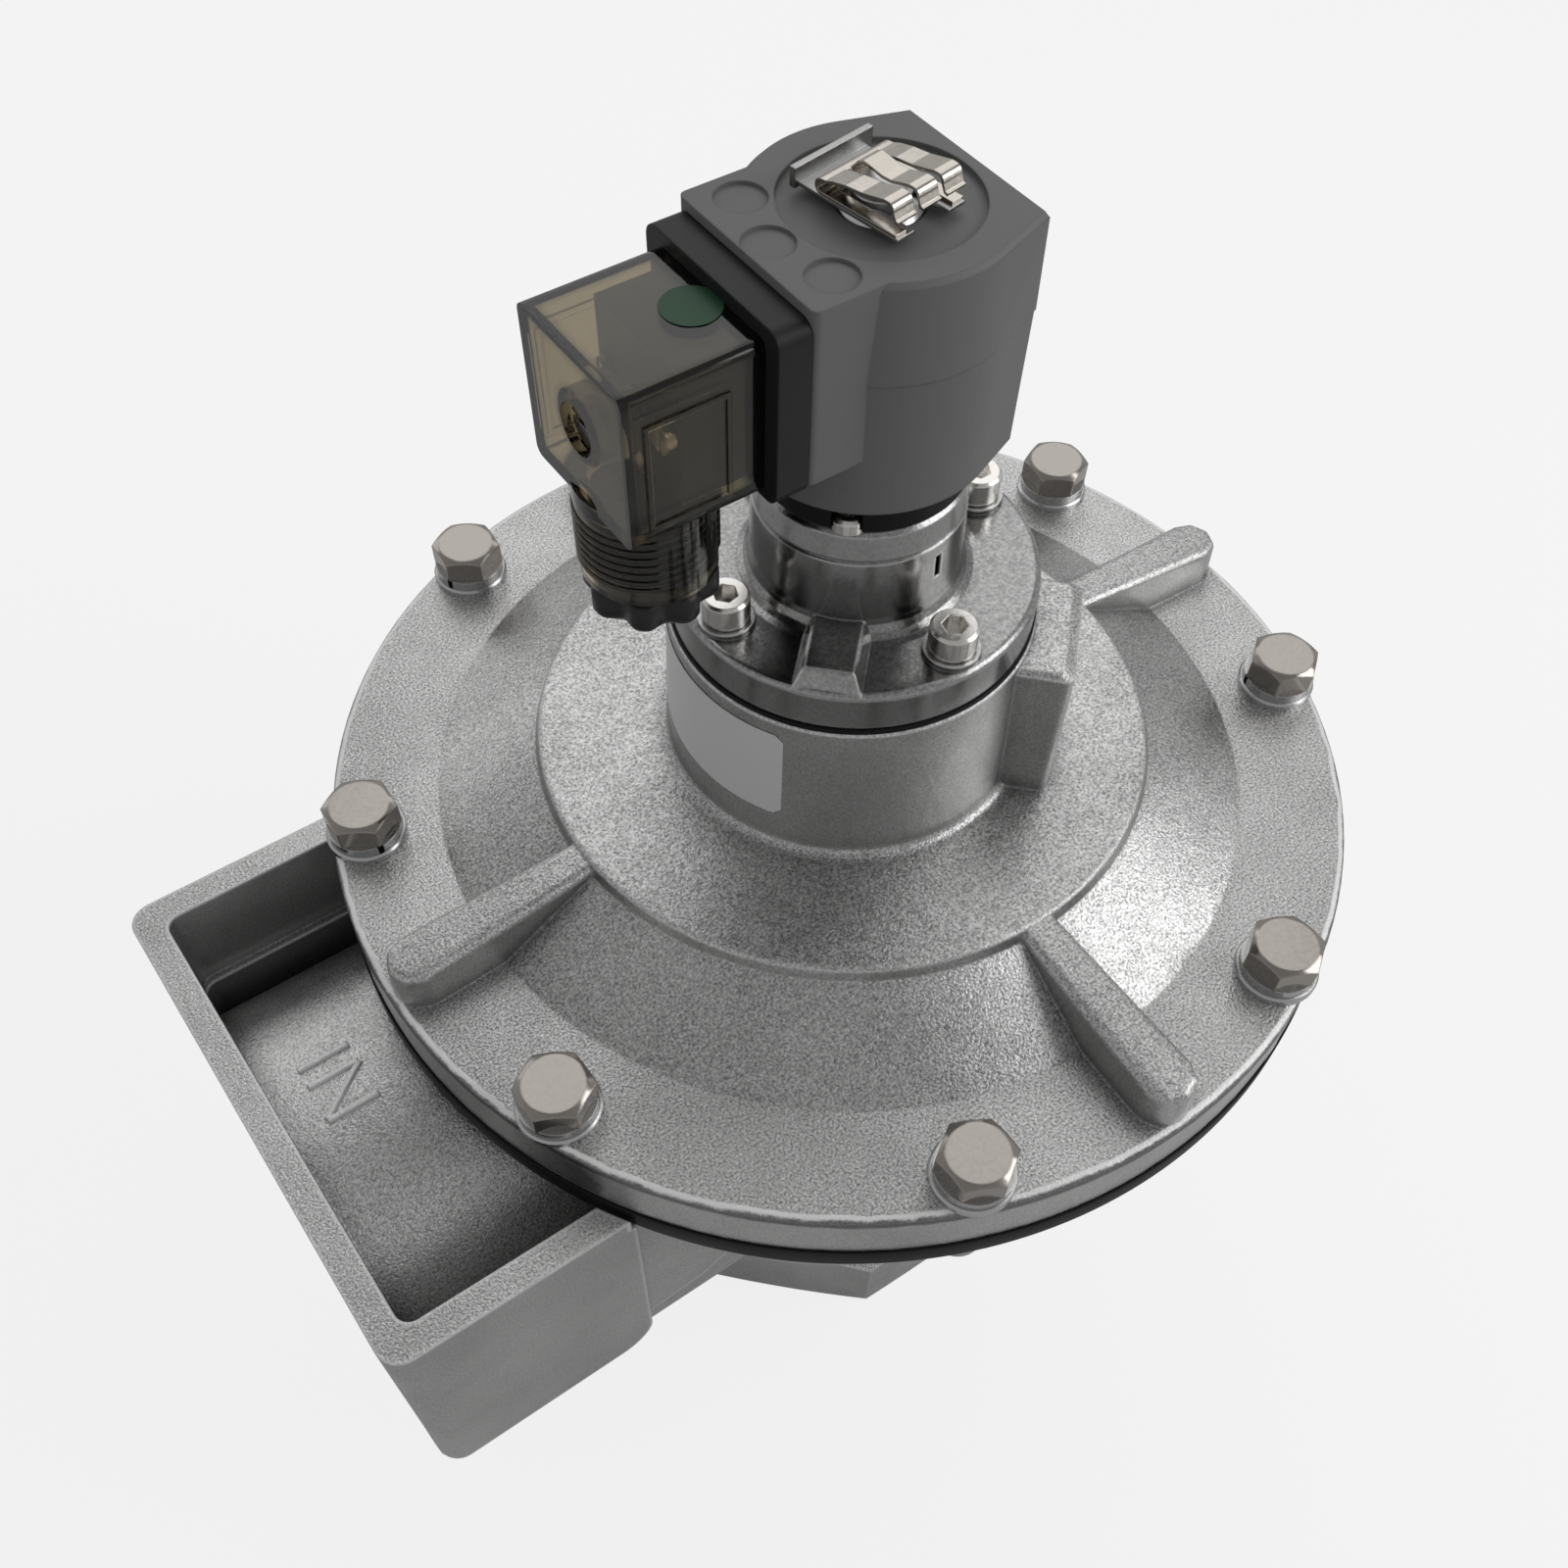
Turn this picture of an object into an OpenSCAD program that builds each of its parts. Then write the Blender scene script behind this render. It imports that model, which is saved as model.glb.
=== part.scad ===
// Right-angle pulse valve with a two-stage solenoid pilot, in millimetres.
// The origin is on the valve axis at the outlet's end face. +Z is up, the inlet points along -X.

/* [Body casting] */
// Height of the inlet's centre line above the outlet face
inlet_axis_h = 88; // [84:0.5:94]
// Height of the flange face that carries the main diaphragm
flange_face_h = 142; // [140:0.5:145]
// Thickness of the body flange at its edge
body_flange_t = 7; // [6:0.5:10]
// How far the body flange's edge stays inside the cover's
flange_inset = 2.8; // [1:0.1:3]
// Diameter of the clear passage through both ports
port_bore_d = 76; // [70:0.5:78]
// Minor diameter of the G3 port threads
port_thread_d = 84.93; // [84.5:0.01:85.2]
// Depth of the port threads
port_thread_depth = 24; // [18:0.5:28]
// Outside diameter of the inlet pipe
pipe_d = 107; // [102:0.5:110]
// Distance of the inlet's end face from the valve axis
inlet_reach = 137.5; // [130:0.5:150]
// Width of the rectangular frame round the inlet pipe
frame_w = 115; // [112:0.5:122]
// Wall of the rectangular frame
frame_wall = 6; // [4:0.5:8]
// Corner radius of the rectangular frame
frame_corner_r = 5; // [3:0.5:8]
// How far the frame reaches below the inlet's centre line
frame_drop = 6; // [3:0.5:10]
// How far the frame's top edge stands above the flange face
frame_rise = 3.5; // [0:0.5:4.5]
// Length of the full-depth part of the frame
frame_len = 49.5; // [44:0.5:54]
// How far the bowl's side stays inside the cover's edge
bowl_inset = 24; // [22:0.5:28]
// Wall of the bowl
bowl_wall = 8; // [6:0.5:10]
// Height of the bowl's underside
bowl_floor_h = 28; // [24:0.5:32]
// Outside diameter of the seat tube inside the bowl
seat_tube_d = 90; // [86:0.5:94]
// How far the main seat lies under the flange face
seat_drop = 5; // [4:0.5:9]
// Width across the wrench flats of the outlet collar
collar_flats = 116; // [112:0.5:122]
// Height of the outlet collar
collar_h = 25; // [18:0.5:27]
// Wall of each bolt boss under the flange round its bolt
bolt_boss_wall = 1.3; // [1:0.1:1.6]
// Length of each bolt boss from the flange face
bolt_boss_len = 10.5; // [10:0.5:14]

/* [Main cover] */
// Outside diameter of the cover flange
cover_d = 208; // [205:0.5:212]
// Thickness of the cover flange
cover_flange_t = 13; // [11:0.5:14]
// Width of the flat flange outside the cone's foot
cone_land = 21.5; // [19:0.5:24]
// Diameter of the raised disc's edge
disc_d = 122; // [116:0.5:126]
// Height that the cone rises
cone_rise = 9.8; // [8:0.1:11]
// Height of the small step at the raised disc
disc_step = 3; // [2:0.1:4]
// Wall of the cover over the main chamber
cover_wall = 8; // [6:0.5:9]
// Diameter of the pilot boss at its foot
boss_d = 69.6; // [68:0.1:74]
// Taper of the pilot boss on the diameter
boss_taper = 1.8; // [0.5:0.1:2.2]
// Height of the pilot boss above the raised disc
boss_h = 32.6; // [30:0.1:36]
// Width of a radial rib at its inner end
rib_inner_w = 8; // [6:0.5:10]
// Width of a radial rib at its outer end
rib_outer_w = 11; // [9:0.5:13]
// Height of a rib's top over the flange at its inner end
rib_inner_h = 12.2; // [11:0.1:12.6]
// Height of a rib's top over the flange at its outer end
rib_outer_h = 9; // [7:0.1:10]
// Width of the passage lug on the pilot boss
lug_w = 25; // [22:0.5:28]
// Reach of the passage lug from the valve axis
lug_reach = 42; // [40:0.5:46]
// How far the lug's top stays under the boss's top
lug_drop = 1.2; // [0.5:0.1:3]
// Diameter of the pilot exhaust in the lug
exhaust_d = 11; // [8:0.5:12]

/* [Main diaphragm stage] */
// Thickness of the clamped diaphragm rim
rim_t = 5; // [4:0.1:5.5]
// Width of the clamped diaphragm rim
rim_w = 20; // [18:0.5:21]
// Height of the roll in the diaphragm sheet
roll_h = 7; // [6:0.5:8]
// Thickness of the diaphragm sheet
sheet_t = 3; // [2:0.1:3.5]
// Diameter of the plate on the diaphragm
plate_d = 100; // [96:0.5:104]
// Thickness of the plate on the diaphragm
plate_t = 3; // [2:0.5:4]
// Thickness of the resilient seat disc
seat_disc_t = 5; // [4:0.5:6]
// Diameter of the lower retainer plate
retainer_d = 68; // [60:0.5:70]
// Thickness of the lower retainer plate
retainer_t = 4; // [3:0.5:6]
// Diameter of the centre stud
stud_d = 10; // [8:0.5:12]
// Lift of the main diaphragm
main_lift = 12; // [10:0.5:13]
// Outside diameter of the main spring
main_spring_d = 54; // [48:0.5:56]
// Wire diameter of the main spring
main_wire_d = 2.4; // [1.8:0.1:2.6]

/* [Pilot stage] */
// Thickness of the pilot diaphragm
pilot_sheet_t = 1; // [0.8:0.1:1.5]
// Diameter of the pilot diaphragm's rim
pilot_rim_d = 67.2; // [66:0.1:67.6]
// Diameter of the pilot cap's flange
cap_d = 66.6; // [65:0.1:67.4]
// Thickness of the pilot cap's flange
cap_flange_t = 8.1; // [7:0.1:9]
// Diameter of the pilot cap's neck
neck_d = 37; // [36:0.1:38]
// Height of the pilot cap above the pilot diaphragm
cap_h = 29.1; // [28.5:0.1:32]
// Diameter of the pilot chamber
pilot_chamber_d = 43; // [40:0.5:44]
// Bore of the pilot seat
pilot_seat_bore_d = 14; // [11:0.5:14]
// Wall of the pilot seat
pilot_seat_wall = 3; // [2.5:0.1:3.5]
// Lift of the pilot diaphragm
pilot_lift = 4; // [2:0.5:4.5]
// Width of the raised pad on the pilot cap
pad_w = 9.2; // [7:0.1:11]
// Height of the raised pad on the pilot cap
pad_h = 3; // [2:0.1:4]

/* [Solenoid] */
// Outside diameter of the guide tube
tube_d = 13; // [12:0.1:13.6]
// Bore of the guide tube
tube_bore_d = 10.4; // [9:0.1:10.6]
// Lift of the plunger
plunger_lift = 1.8; // [1:0.1:2]
// Diameter of the coil's round part
coil_d = 43.2; // [42:0.1:44]
// Draft of the coil's round part on the diameter, from the parting line up
coil_draft = 1.8; // [0.5:0.1:2.2]
// Chamfer round the coil's top
coil_edge = 0.8; // [0.4:0.1:1.2]
// Height of the coil
coil_h = 38.5; // [37:0.1:42]
// Distance of the coil's square back from the axis
coil_back = 17.8; // [16.5:0.1:19]
// Width of the coil's square back
coil_back_w = 32.4; // [31:0.1:33]
// Width of the plug block on the coil
block_w = 33; // [32:0.1:35]
// Distance of the plug block's face from the axis
block_reach = 23.4; // [22.5:0.1:26]
// How far the plug block stays above the coil's underside
block_lift = 10.1; // [9.5:0.1:10.5]
// Height of the rubber ring under the coil
coil_seal_h = 7; // [5:0.1:8]
// Diameter of the rubber ring under the coil
coil_seal_d = 36; // [34:0.1:37]
// Turn of the retaining plate and clip on the tube
clip_turn = 9.5; // [0:0.5:12]
// Width of the spring clip
clip_w = 13.8; // [12:0.1:14]
// Height of the retaining plate's upright tab over the coil's top
tab_h = 3.2; // [2:0.1:4]
// Gap between the coil's top and the retaining plate, which slides over it
plate_gap = 0.3; // [0.2:0.05:0.6]

/* [Plug] */
// Width of the plug housing
plug_w = 26.5; // [26:0.1:27.5]
// Height of the plug housing
plug_h = 25.3; // [24.6:0.1:26]
// Length of the plug housing from gasket to end face
plug_len = 22.8; // [22.4:0.1:25]
// Wall of the plug housing
plug_wall = 1.8; // [1.4:0.1:2]
// Thickness of the plug gasket
gasket_t = 5.6; // [4.5:0.1:6]
// Width of the plug gasket
gasket_w = 32.6; // [32:0.1:33.5]
// Height of the plug gasket
gasket_h = 28.5; // [28:0.1:29.5]
// Diameter of the cable neck
cable_neck_d = 21.8; // [21.6:0.1:23]
// Length of the cable neck
cable_neck_len = 16.5; // [15.5:0.1:19]
// Distance of the cable neck's axis from the housing's end face
cable_neck_inset = 10.2; // [10:0.1:11]
// Diameter of the lobed gland nut
gland_nut_d = 24.6; // [24:0.1:27]
// Height of the lobed gland nut
gland_nut_h = 5.8; // [5:0.1:8]
// Hole for the cable through the gland nut
cable_hole_d = 9.2; // [8:0.1:10]

/* [Fasteners] */
// Thread diameter of the cover bolts
bolt_d = 8; // [7:0.5:8]
// Number of cover bolts
bolt_count = 8; // [6:1:8]
// Distance of the cover bolts from the cover's edge
bolt_edge = 7; // [6:0.1:8]
// Width across flats of the cover bolts
bolt_flats = 13; // [12:0.5:13]
// Height of the cover bolts' heads
bolt_head_h = 5.3; // [4:0.1:6]
// Length of the cover bolts under the head
bolt_len = 30; // [28:1:30]
// Diameter of the flat washers
washer_d = 16; // [15:0.5:17]
// Thickness of the flat washers
washer_t = 1.6; // [1:0.1:2]
// Thickness of the spring washers
spring_washer_t = 2; // [1.5:0.1:2.2]
// Thread diameter of the pilot cap screws
cap_screw_d = 5; // [4.5:0.5:5]
// Diameter of the circle of pilot cap screws
cap_screw_circle_d = 55; // [54.5:0.1:56]

/* [Hidden] */
$fn = 96;

// Clearance of a part that runs in a bore, on the radius
run_gap = 0.08;
// Clearance of a part that is only placed in its seat
seat_gap = 0.05;
// Clearance of a bolt in its through hole, on the radius
bolt_gap = 0.5;
// Small overlap that cuts need to break through a face
cut = 1;

// Heights and diameters of the main stack
seat_h = flange_face_h - seat_drop;
bowl_d = cover_d - 2 * bowl_inset;
bolt_circle_d = cover_d - 2 * bolt_edge;
cone_foot_d = cover_d - 2 * cone_land;
rim_top_z = flange_face_h + rim_t;
cover_face_z = rim_top_z + cover_flange_t;
disc_edge_z = cover_face_z + cone_rise;
disc_top_z = disc_edge_z + disc_step;
boss_top_z = disc_top_z + boss_h;
bolt_angle_step = 360 / bolt_count;
bolt_start_angle = bolt_angle_step / 2;

// Main chamber in the cover
chamber_d = cover_d - 2 * rim_w;
ceiling_z = disc_top_z - cover_wall;
plate_z = seat_h + seat_disc_t + sheet_t;
plate_top_z = plate_z + plate_t;
lift_gap = 0.4;
stop_z = plate_top_z + main_lift + lift_gap;
stop_outer_d = plate_d - 2;
stop_wall = 6;
nut_h = 0.8 * stud_d;
nut_flats = 1.7 * stud_d;
stud_top_z = plate_top_z + nut_h + 2;
pocket_top_z = stud_top_z + main_lift + 1.5;
pocket_d = main_spring_d + 6;

// Pilot stage
seat_outer_d = pilot_seat_bore_d + 2 * pilot_seat_wall;
pilot_chamber_floor_z = boss_top_z - 15;
transfer_r = (pilot_chamber_d + seat_outer_d) / 4;
transfer_d = (pilot_chamber_d - seat_outer_d) / 2 - 3;
transfer_angles = [45, 135, 225];
lug_angle = -45;
exhaust_z = pilot_chamber_floor_z - 3 - exhaust_d / 2;
cap_z = boss_top_z + pilot_sheet_t;
cap_flange_top_z = cap_z + cap_flange_t;
cap_top_z = cap_z + cap_h;
pilot_disc_d = 30;
pilot_disc_t = 2;
rivet_d = 6;
pilot_pocket_d = pilot_disc_d + 1;
pilot_pocket_z = cap_z + pilot_disc_t + pilot_lift + 5.1;
nozzle_floor_z = pilot_pocket_z + 5;
nozzle_h = 3;
nozzle_top_z = nozzle_floor_z + nozzle_h;
pad_angle = -135;
cap_screw_turn = [0, 90, 180, 270];
cap_seat_h = 1.1;
cap_seat_d = 10;
cap_screw_head_d = 1.7 * cap_screw_d;
cap_screw_head_z = cap_flange_top_z + cap_seat_h;

// Guide tube and its seat in the neck
tube_base_d = 25;
ring_wire_d = 1.4;
ring_seat_z = nozzle_floor_z + 6;
ring_seat_d = 20;
tube_base_z = ring_seat_z + ring_wire_d;
coil_z = cap_top_z + coil_seal_h;
coil_top_z = coil_z + coil_h;
plunger_len = 29.5;
plunger_top_z = nozzle_top_z + plunger_len;
core_z = plunger_top_z + plunger_lift + 0.5;
recess_d = 30.2;
recess_depth = 0.8;
groove_z = coil_top_z + plate_gap - seat_gap;
groove_h = 0.6;
groove_d = 6.8;
head_d = 8.8;
head_t = 1.5;
plunger_pocket_d = 5.2;
plunger_pocket_depth = 12;
plunger_seal_d = 5.2;
plunger_seal_t = 2.5;

// Coil
coil_shell = 5;
yoke_wall = 0.28 * coil_shell;
yoke_plate = 0.4 * coil_shell;
block_z = coil_z + block_lift;
dimple_d = 7.9;
dimple_depth = 0.5;
parting_z = coil_z + 23.3;
parting_step = 0.15;

// Plug
plug_face_x = -block_reach - gasket_t;
plug_end_x = plug_face_x - plug_len;
plug_mid_z = block_z + 0.42 * coil_h - 4.1;
plug_floor_z = plug_mid_z - plug_h / 2;
gasket_mid_z = plug_mid_z + 0.6;
cable_x = plug_end_x + cable_neck_inset;
cable_neck_z = plug_floor_z - cable_neck_len;
gland_bore_d = 18.4;
gland_bore_top_z = cable_neck_z + 14;
gland_male_len = 7.9;
blade_w = 6.3;
blade_t = 0.8;
blade_len = 10;
blade_pitch = 8.2;
block_nose = 19.6;
insert_w = 20.4;
insert_len = 12.5;
insert_x = plug_face_x - insert_len;
contact_w = blade_w + 1.5;
contact_t = blade_t + 1.8;
screw_hole_d = 3.1;
plug_screw_d = 3;
plug_screw_head_d = 6.8;
plug_recess_d = 8;
plug_recess_depth = 4.8;
// The places of the three blades: y, z from the plug's middle, and 1 where the blade lies flat
blade_places = [[-blade_pitch, 0, 0], [blade_pitch, 0, 0], [0, -blade_pitch, 1]];

// Points on an arc, from angle a to angle b in n steps
function arc(cx, cy, r, a, b, n) =
    [for (i = [0 : n]) [cx + r * cos(a + (b - a) * i / n), cy + r * sin(a + (b - a) * i / n)]];

// Outline of a strip of thickness t that follows a path of points
function strip_side(path, off) = [
    for (i = [0 : len(path) - 1])
        let (before = path[max(i - 1, 0)])
        let (after = path[min(i + 1, len(path) - 1)])
        let (along = (after - before) / norm(after - before))
        path[i] + off * [-along[1], along[0]]
];
function reversed(list) = [for (i = [len(list) - 1 : -1 : 0]) list[i]];
function strip(path, t) = concat(strip_side(path, t / 2), reversed(strip_side(path, -t / 2)));

// Flat plate with rounded corners, centred on the origin
module rounded_plate(w, h, r, t) {
    linear_extrude(t)
        hull()
            for (x = [-1, 1], y = [-1, 1])
                translate([x * (w / 2 - r), y * (h / 2 - r)])
                    circle(r, $fn = 32);
}

// Children are repeated at each cover bolt
module at_cover_bolts() {
    for (i = [0 : bolt_count - 1])
        rotate([0, 0, bolt_start_angle + i * bolt_angle_step])
            translate([bolt_circle_d / 2, 0, 0])
                rotate([0, 0, 17 * i])
                    children();
}

// Children are repeated at each pilot cap screw
module at_cap_screws() {
    for (a = cap_screw_turn)
        rotate([0, 0, a])
            translate([cap_screw_circle_d / 2, 0, 0])
                rotate([0, 0, 0.4 * a])
                    children();
}

// Round bar along X from x0 to x1
module bar_x(d, x0, x1) {
    translate([x0, 0, 0])
        rotate([0, 90, 0])
            cylinder(h = x1 - x0, d = d);
}

// Hexagon with its corners cut by a cone, as on a bolt head or a nut
module hexagon_block(flats, h, both_sides) {
    corner = flats / cos(30);
    chamfer = 0.13 * flats;
    intersection() {
        cylinder(h = h, d = corner, $fn = 6);
        rotate_extrude()
            polygon([
                [0, 0],
                [both_sides ? corner / 2 - chamfer : corner / 2 + 0.1, 0],
                [corner / 2 + 0.1, both_sides ? 0.6 * chamfer : 0],
                [corner / 2 + 0.1, h - 0.6 * chamfer],
                [corner / 2 - chamfer, h],
                [0, h]
            ]);
    }
}

// Helical spring that stands on z0, with closed ends and a round wire
module coil_spring(outer_d, wire_d, z0, z1, turns, steps, sides) {
    mid_r = (outer_d - wire_d) / 2;
    rings = turns * steps;
    rise = z1 - z0 - wire_d;
    points = [
        for (i = [0 : rings])
            let (share = i / rings)
            let (height = z0 + wire_d / 2 + rise * (0.5 - 0.5 * cos(180 * share)))
            for (k = [0 : sides - 1])
                let (r = mid_r + wire_d / 2 * cos(360 * k / sides))
                [
                    r * cos(360 * turns * share), r * sin(360 * turns * share),
                    height + wire_d / 2 * sin(360 * k / sides)
                ]
    ];
    walls = [
        for (i = [0 : rings - 1], k = [0 : sides - 1])
            [i * sides + k, i * sides + (k + 1) % sides, (i + 1) * sides + (k + 1) % sides, (i + 1) * sides + k]
    ];
    first_end = [for (k = [sides - 1 : -1 : 0]) k];
    last_end = [for (k = [0 : sides - 1]) rings * sides + k];
    polyhedron(points, concat(walls, [first_end], [last_end]), convexity = 8);
}

// Body casting

module frame_outline(grow) {
    hull() {
        for (y = [-1, 1])
            translate([-inlet_reach + frame_corner_r - grow, y * (frame_w / 2 - frame_corner_r + grow)])
                circle(frame_corner_r, $fn = 32);
        for (y = [-1, 1])
            translate([-inlet_reach + frame_len, y * (frame_w / 2 + grow - 0.5)])
                square(1, center = true);
    }
}

module inlet_frame() {
    floor_z = inlet_axis_h - frame_drop;
    top_z = flange_face_h + frame_rise;
    inner_x = -inlet_reach + frame_len;
    blend_w = frame_w - 1.2;
    blend_len = 36;
    corner_r = 8;
    cover_gap = 1.5;
    difference() {
        union() {
            intersection() {
                translate([0, 0, floor_z])
                    linear_extrude(top_z - floor_z)
                        frame_outline(0);
                across(frame_w + 2)
                    polygon(concat(
                        [[-inlet_reach - cut, top_z + cut], [-inlet_reach - cut, floor_z - cut]],
                        [[inner_x - corner_r, floor_z - cut]],
                        arc(inner_x - corner_r + 0.5, floor_z + corner_r, corner_r, -90, 0, 8),
                        [[inner_x + 0.5, top_z + cut]]
                    ));
            }
            across(blend_w)
                polygon([
                    [inner_x - 1, top_z], [inner_x - 1, floor_z + 12], [inner_x + 14, floor_z + 14],
                    [inner_x + 22, floor_z + 18], [inner_x + blend_len, floor_z + 26], [inner_x + blend_len, top_z]
                ]);
        }
        translate([0, 0, flange_face_h])
            cylinder(h = frame_rise + cut, r = cover_d / 2 + cover_gap);
    }
}

// A profile in the XZ plane, made into a bar of width w along Y
module across(w) {
    rotate([90, 0, 0])
        linear_extrude(w, center = true)
            children();
}

module inlet_frame_pocket() {
    pocket_w = frame_w - 2 * frame_wall;
    ledge_z = flange_face_h - 19.5;
    ledge = 2;
    pocket_end_x = -bowl_d / 4;
    pocket_len = inlet_reach - frame_wall + pocket_end_x;
    pocket_corner_r = 3;
    for (step = [[ledge_z, pocket_w], [inlet_axis_h + 6, pocket_w - 2 * ledge]])
        translate([pocket_end_x - pocket_len / 2, 0, step[0]])
            rounded_plate(pocket_len, step[1], pocket_corner_r, flange_face_h + frame_rise - step[0] + cut);
}

module bowl_outer() {
    shoulder_r = bowl_d / 2;
    blend_r = 60;
    blend_z = bowl_floor_h + blend_r;
    rotate_extrude()
        polygon(concat(
            [[0, bowl_floor_h]],
            arc(shoulder_r - blend_r, blend_z, blend_r, -90, 0, 12),
            [[shoulder_r, flange_face_h - body_flange_t], [0, flange_face_h - body_flange_t]]
        ));
}

module bowl_inner() {
    inner_r = bowl_d / 2 - bowl_wall;
    blend_r = 52;
    floor_z = bowl_floor_h + bowl_wall;
    rotate_extrude()
        polygon(concat(
            [[0, floor_z]],
            arc(inner_r - blend_r, floor_z + blend_r, blend_r, -90, 0, 12),
            [[inner_r, flange_face_h - 3], [inner_r + 3, flange_face_h + cut], [0, flange_face_h + cut]]
        ));
}

module seat_tube() {
    lip = 3.4;
    rotate_extrude()
        polygon([
            [0, bowl_floor_h + 2], [seat_tube_d / 2 + 4, bowl_floor_h + 2],
            [seat_tube_d / 2 + 4, bowl_floor_h + bowl_wall + 2], [seat_tube_d / 2, bowl_floor_h + bowl_wall + 8],
            [seat_tube_d / 2, seat_h - lip], [seat_tube_d / 2 - lip, seat_h], [0, seat_h]
        ]);
}

module body_flange() {
    edge = 0.8;
    flange_r = cover_d / 2 - flange_inset;
    cone_h = 7;
    cone_w = flange_r - bowl_d / 2 - 8;
    rotate_extrude()
        polygon([
            [0, flange_face_h - body_flange_t - cone_h],
            [flange_r - cone_w, flange_face_h - body_flange_t - cone_h],
            [flange_r - edge, flange_face_h - body_flange_t], [flange_r, flange_face_h - body_flange_t + edge],
            [flange_r, flange_face_h - 0.4], [flange_r - 0.4, flange_face_h], [0, flange_face_h]
        ]);
    boss_r = bolt_d / 2 + bolt_boss_wall;
    at_cover_bolts()
        translate([0, 0, flange_face_h - bolt_boss_len])
            rotate_extrude($fn = 48)
                polygon([
                    [0, 0], [boss_r - 2, 0], [boss_r, 3], [boss_r, bolt_boss_len - 0.5],
                    [boss_r - 0.5, bolt_boss_len], [0, bolt_boss_len]
                ]);
}

module outlet_collar() {
    corner = collar_flats / cos(22.5);
    edge = 2.5;
    intersection() {
        rotate([0, 0, 22.5])
            cylinder(h = collar_h, d = corner, $fn = 8);
        rotate_extrude()
            polygon([
                [0, 0], [collar_flats / 2 - 1, 0], [corner / 2 + 0.6, edge], [corner / 2 + 0.6, collar_h - edge],
                [collar_flats / 2, collar_h], [0, collar_h]
            ]);
    }
    cylinder(h = bowl_floor_h + 14, d = pipe_d);
}

// Threaded port along +Z, cut from its mouth at z = 0
module port_cut(depth) {
    translate([0, 0, -cut])
        cylinder(h = depth + cut, d = port_bore_d);
    translate([0, 0, -cut])
        cylinder(h = port_thread_depth + cut, d = port_thread_d);
    translate([0, 0, port_thread_depth - 0.01])
        cylinder(h = 3, d1 = port_thread_d, d2 = port_bore_d);
}

module valve_body() {
    bore_end_x = 62;
    color([0.66, 0.66, 0.65])
    difference() {
        union() {
            difference() {
                union() {
                    difference() {
                        inlet_frame();
                        inlet_frame_pocket();
                    }
                    translate([0, 0, inlet_axis_h])
                        bar_x(pipe_d, -inlet_reach, 2 - pipe_d / 2);
                    bowl_outer();
                    body_flange();
                }
                bowl_inner();
            }
            seat_tube();
            outlet_collar();
        }
        port_cut(seat_h + cut);
        translate([-inlet_reach, 0, inlet_axis_h])
            rotate([0, 90, 0])
                port_cut(inlet_reach - bore_end_x);
        at_cover_bolts()
            translate([0, 0, flange_face_h - bolt_boss_len + 1.5])
                cylinder(h = bolt_boss_len - 1.5 + cut, r = bolt_d / 2 + seat_gap, $fn = 32);
    }
}

// Main cover

module cover_rib() {
    edge = 1.8;
    inner_x = disc_d / 2 - 2;
    outer_x = cover_d / 2 - rib_outer_w / 2 - 1.5;
    hull() {
        for (y = [-1, 1])
            translate([inner_x, y * (rib_inner_w / 2 - edge), cover_face_z + rib_inner_h - edge])
                sphere(edge, $fn = 16);
        for (a = [-90, -45, 0, 45, 90])
            translate([
                outer_x + (rib_outer_w / 2 - edge) * cos(a), (rib_outer_w / 2 - edge) * sin(a),
                cover_face_z + rib_outer_h - edge
            ])
                sphere(edge, $fn = 16);
        translate([inner_x, -rib_inner_w / 2, cover_face_z - 2])
            cube([1, rib_inner_w, 1]);
        translate([outer_x, 0, cover_face_z - 2])
            cylinder(h = 1, d = rib_outer_w + 0.6, $fn = 32);
    }
}

module cover_dome() {
    edge = 1.4;
    fillet = 2.2;
    face_r = cover_d / 2;
    boss_r = boss_d / 2;
    boss_top_r = (boss_d - boss_taper) / 2;
    rotate_extrude()
        polygon(concat(
            [[0, rim_top_z], [face_r - 0.5, rim_top_z], [face_r, rim_top_z + 0.5]],
            arc(face_r - edge, cover_face_z - edge, edge, 0, 90, 3),
            [[cone_foot_d / 2, cover_face_z], [disc_d / 2 + 2, disc_edge_z - 0.3]],
            [[disc_d / 2 + 0.6, disc_edge_z + 0.4]],
            arc(disc_d / 2 - 0.9, disc_top_z - 0.9, 0.9, 10, 90, 3),
            reversed(arc(boss_r + fillet, disc_top_z + fillet, fillet, 180, 270, 4)),
            [[boss_top_r, boss_top_z - 0.4], [boss_top_r - 0.4, boss_top_z], [0, boss_top_z]]
        ));
}

module cover_lug() {
    edge = 2;
    top_z = boss_top_z - lug_drop;
    rotate([0, 0, lug_angle])
        hull() {
            for (y = [-1, 1])
                translate([lug_reach - edge, y * (lug_w / 2 - edge), disc_top_z - cut])
                    cylinder(h = top_z - disc_top_z, r = edge, $fn = 24);
            for (y = [-1, 1])
                translate([lug_reach - 2 * edge, y * (lug_w / 2 - 1.6 * edge), top_z - 2])
                    cylinder(h = 2, r = edge, $fn = 24);
            translate([10, -lug_w / 2, disc_top_z - cut])
                cube([1, lug_w, top_z - disc_top_z + cut]);
        }
}

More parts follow.
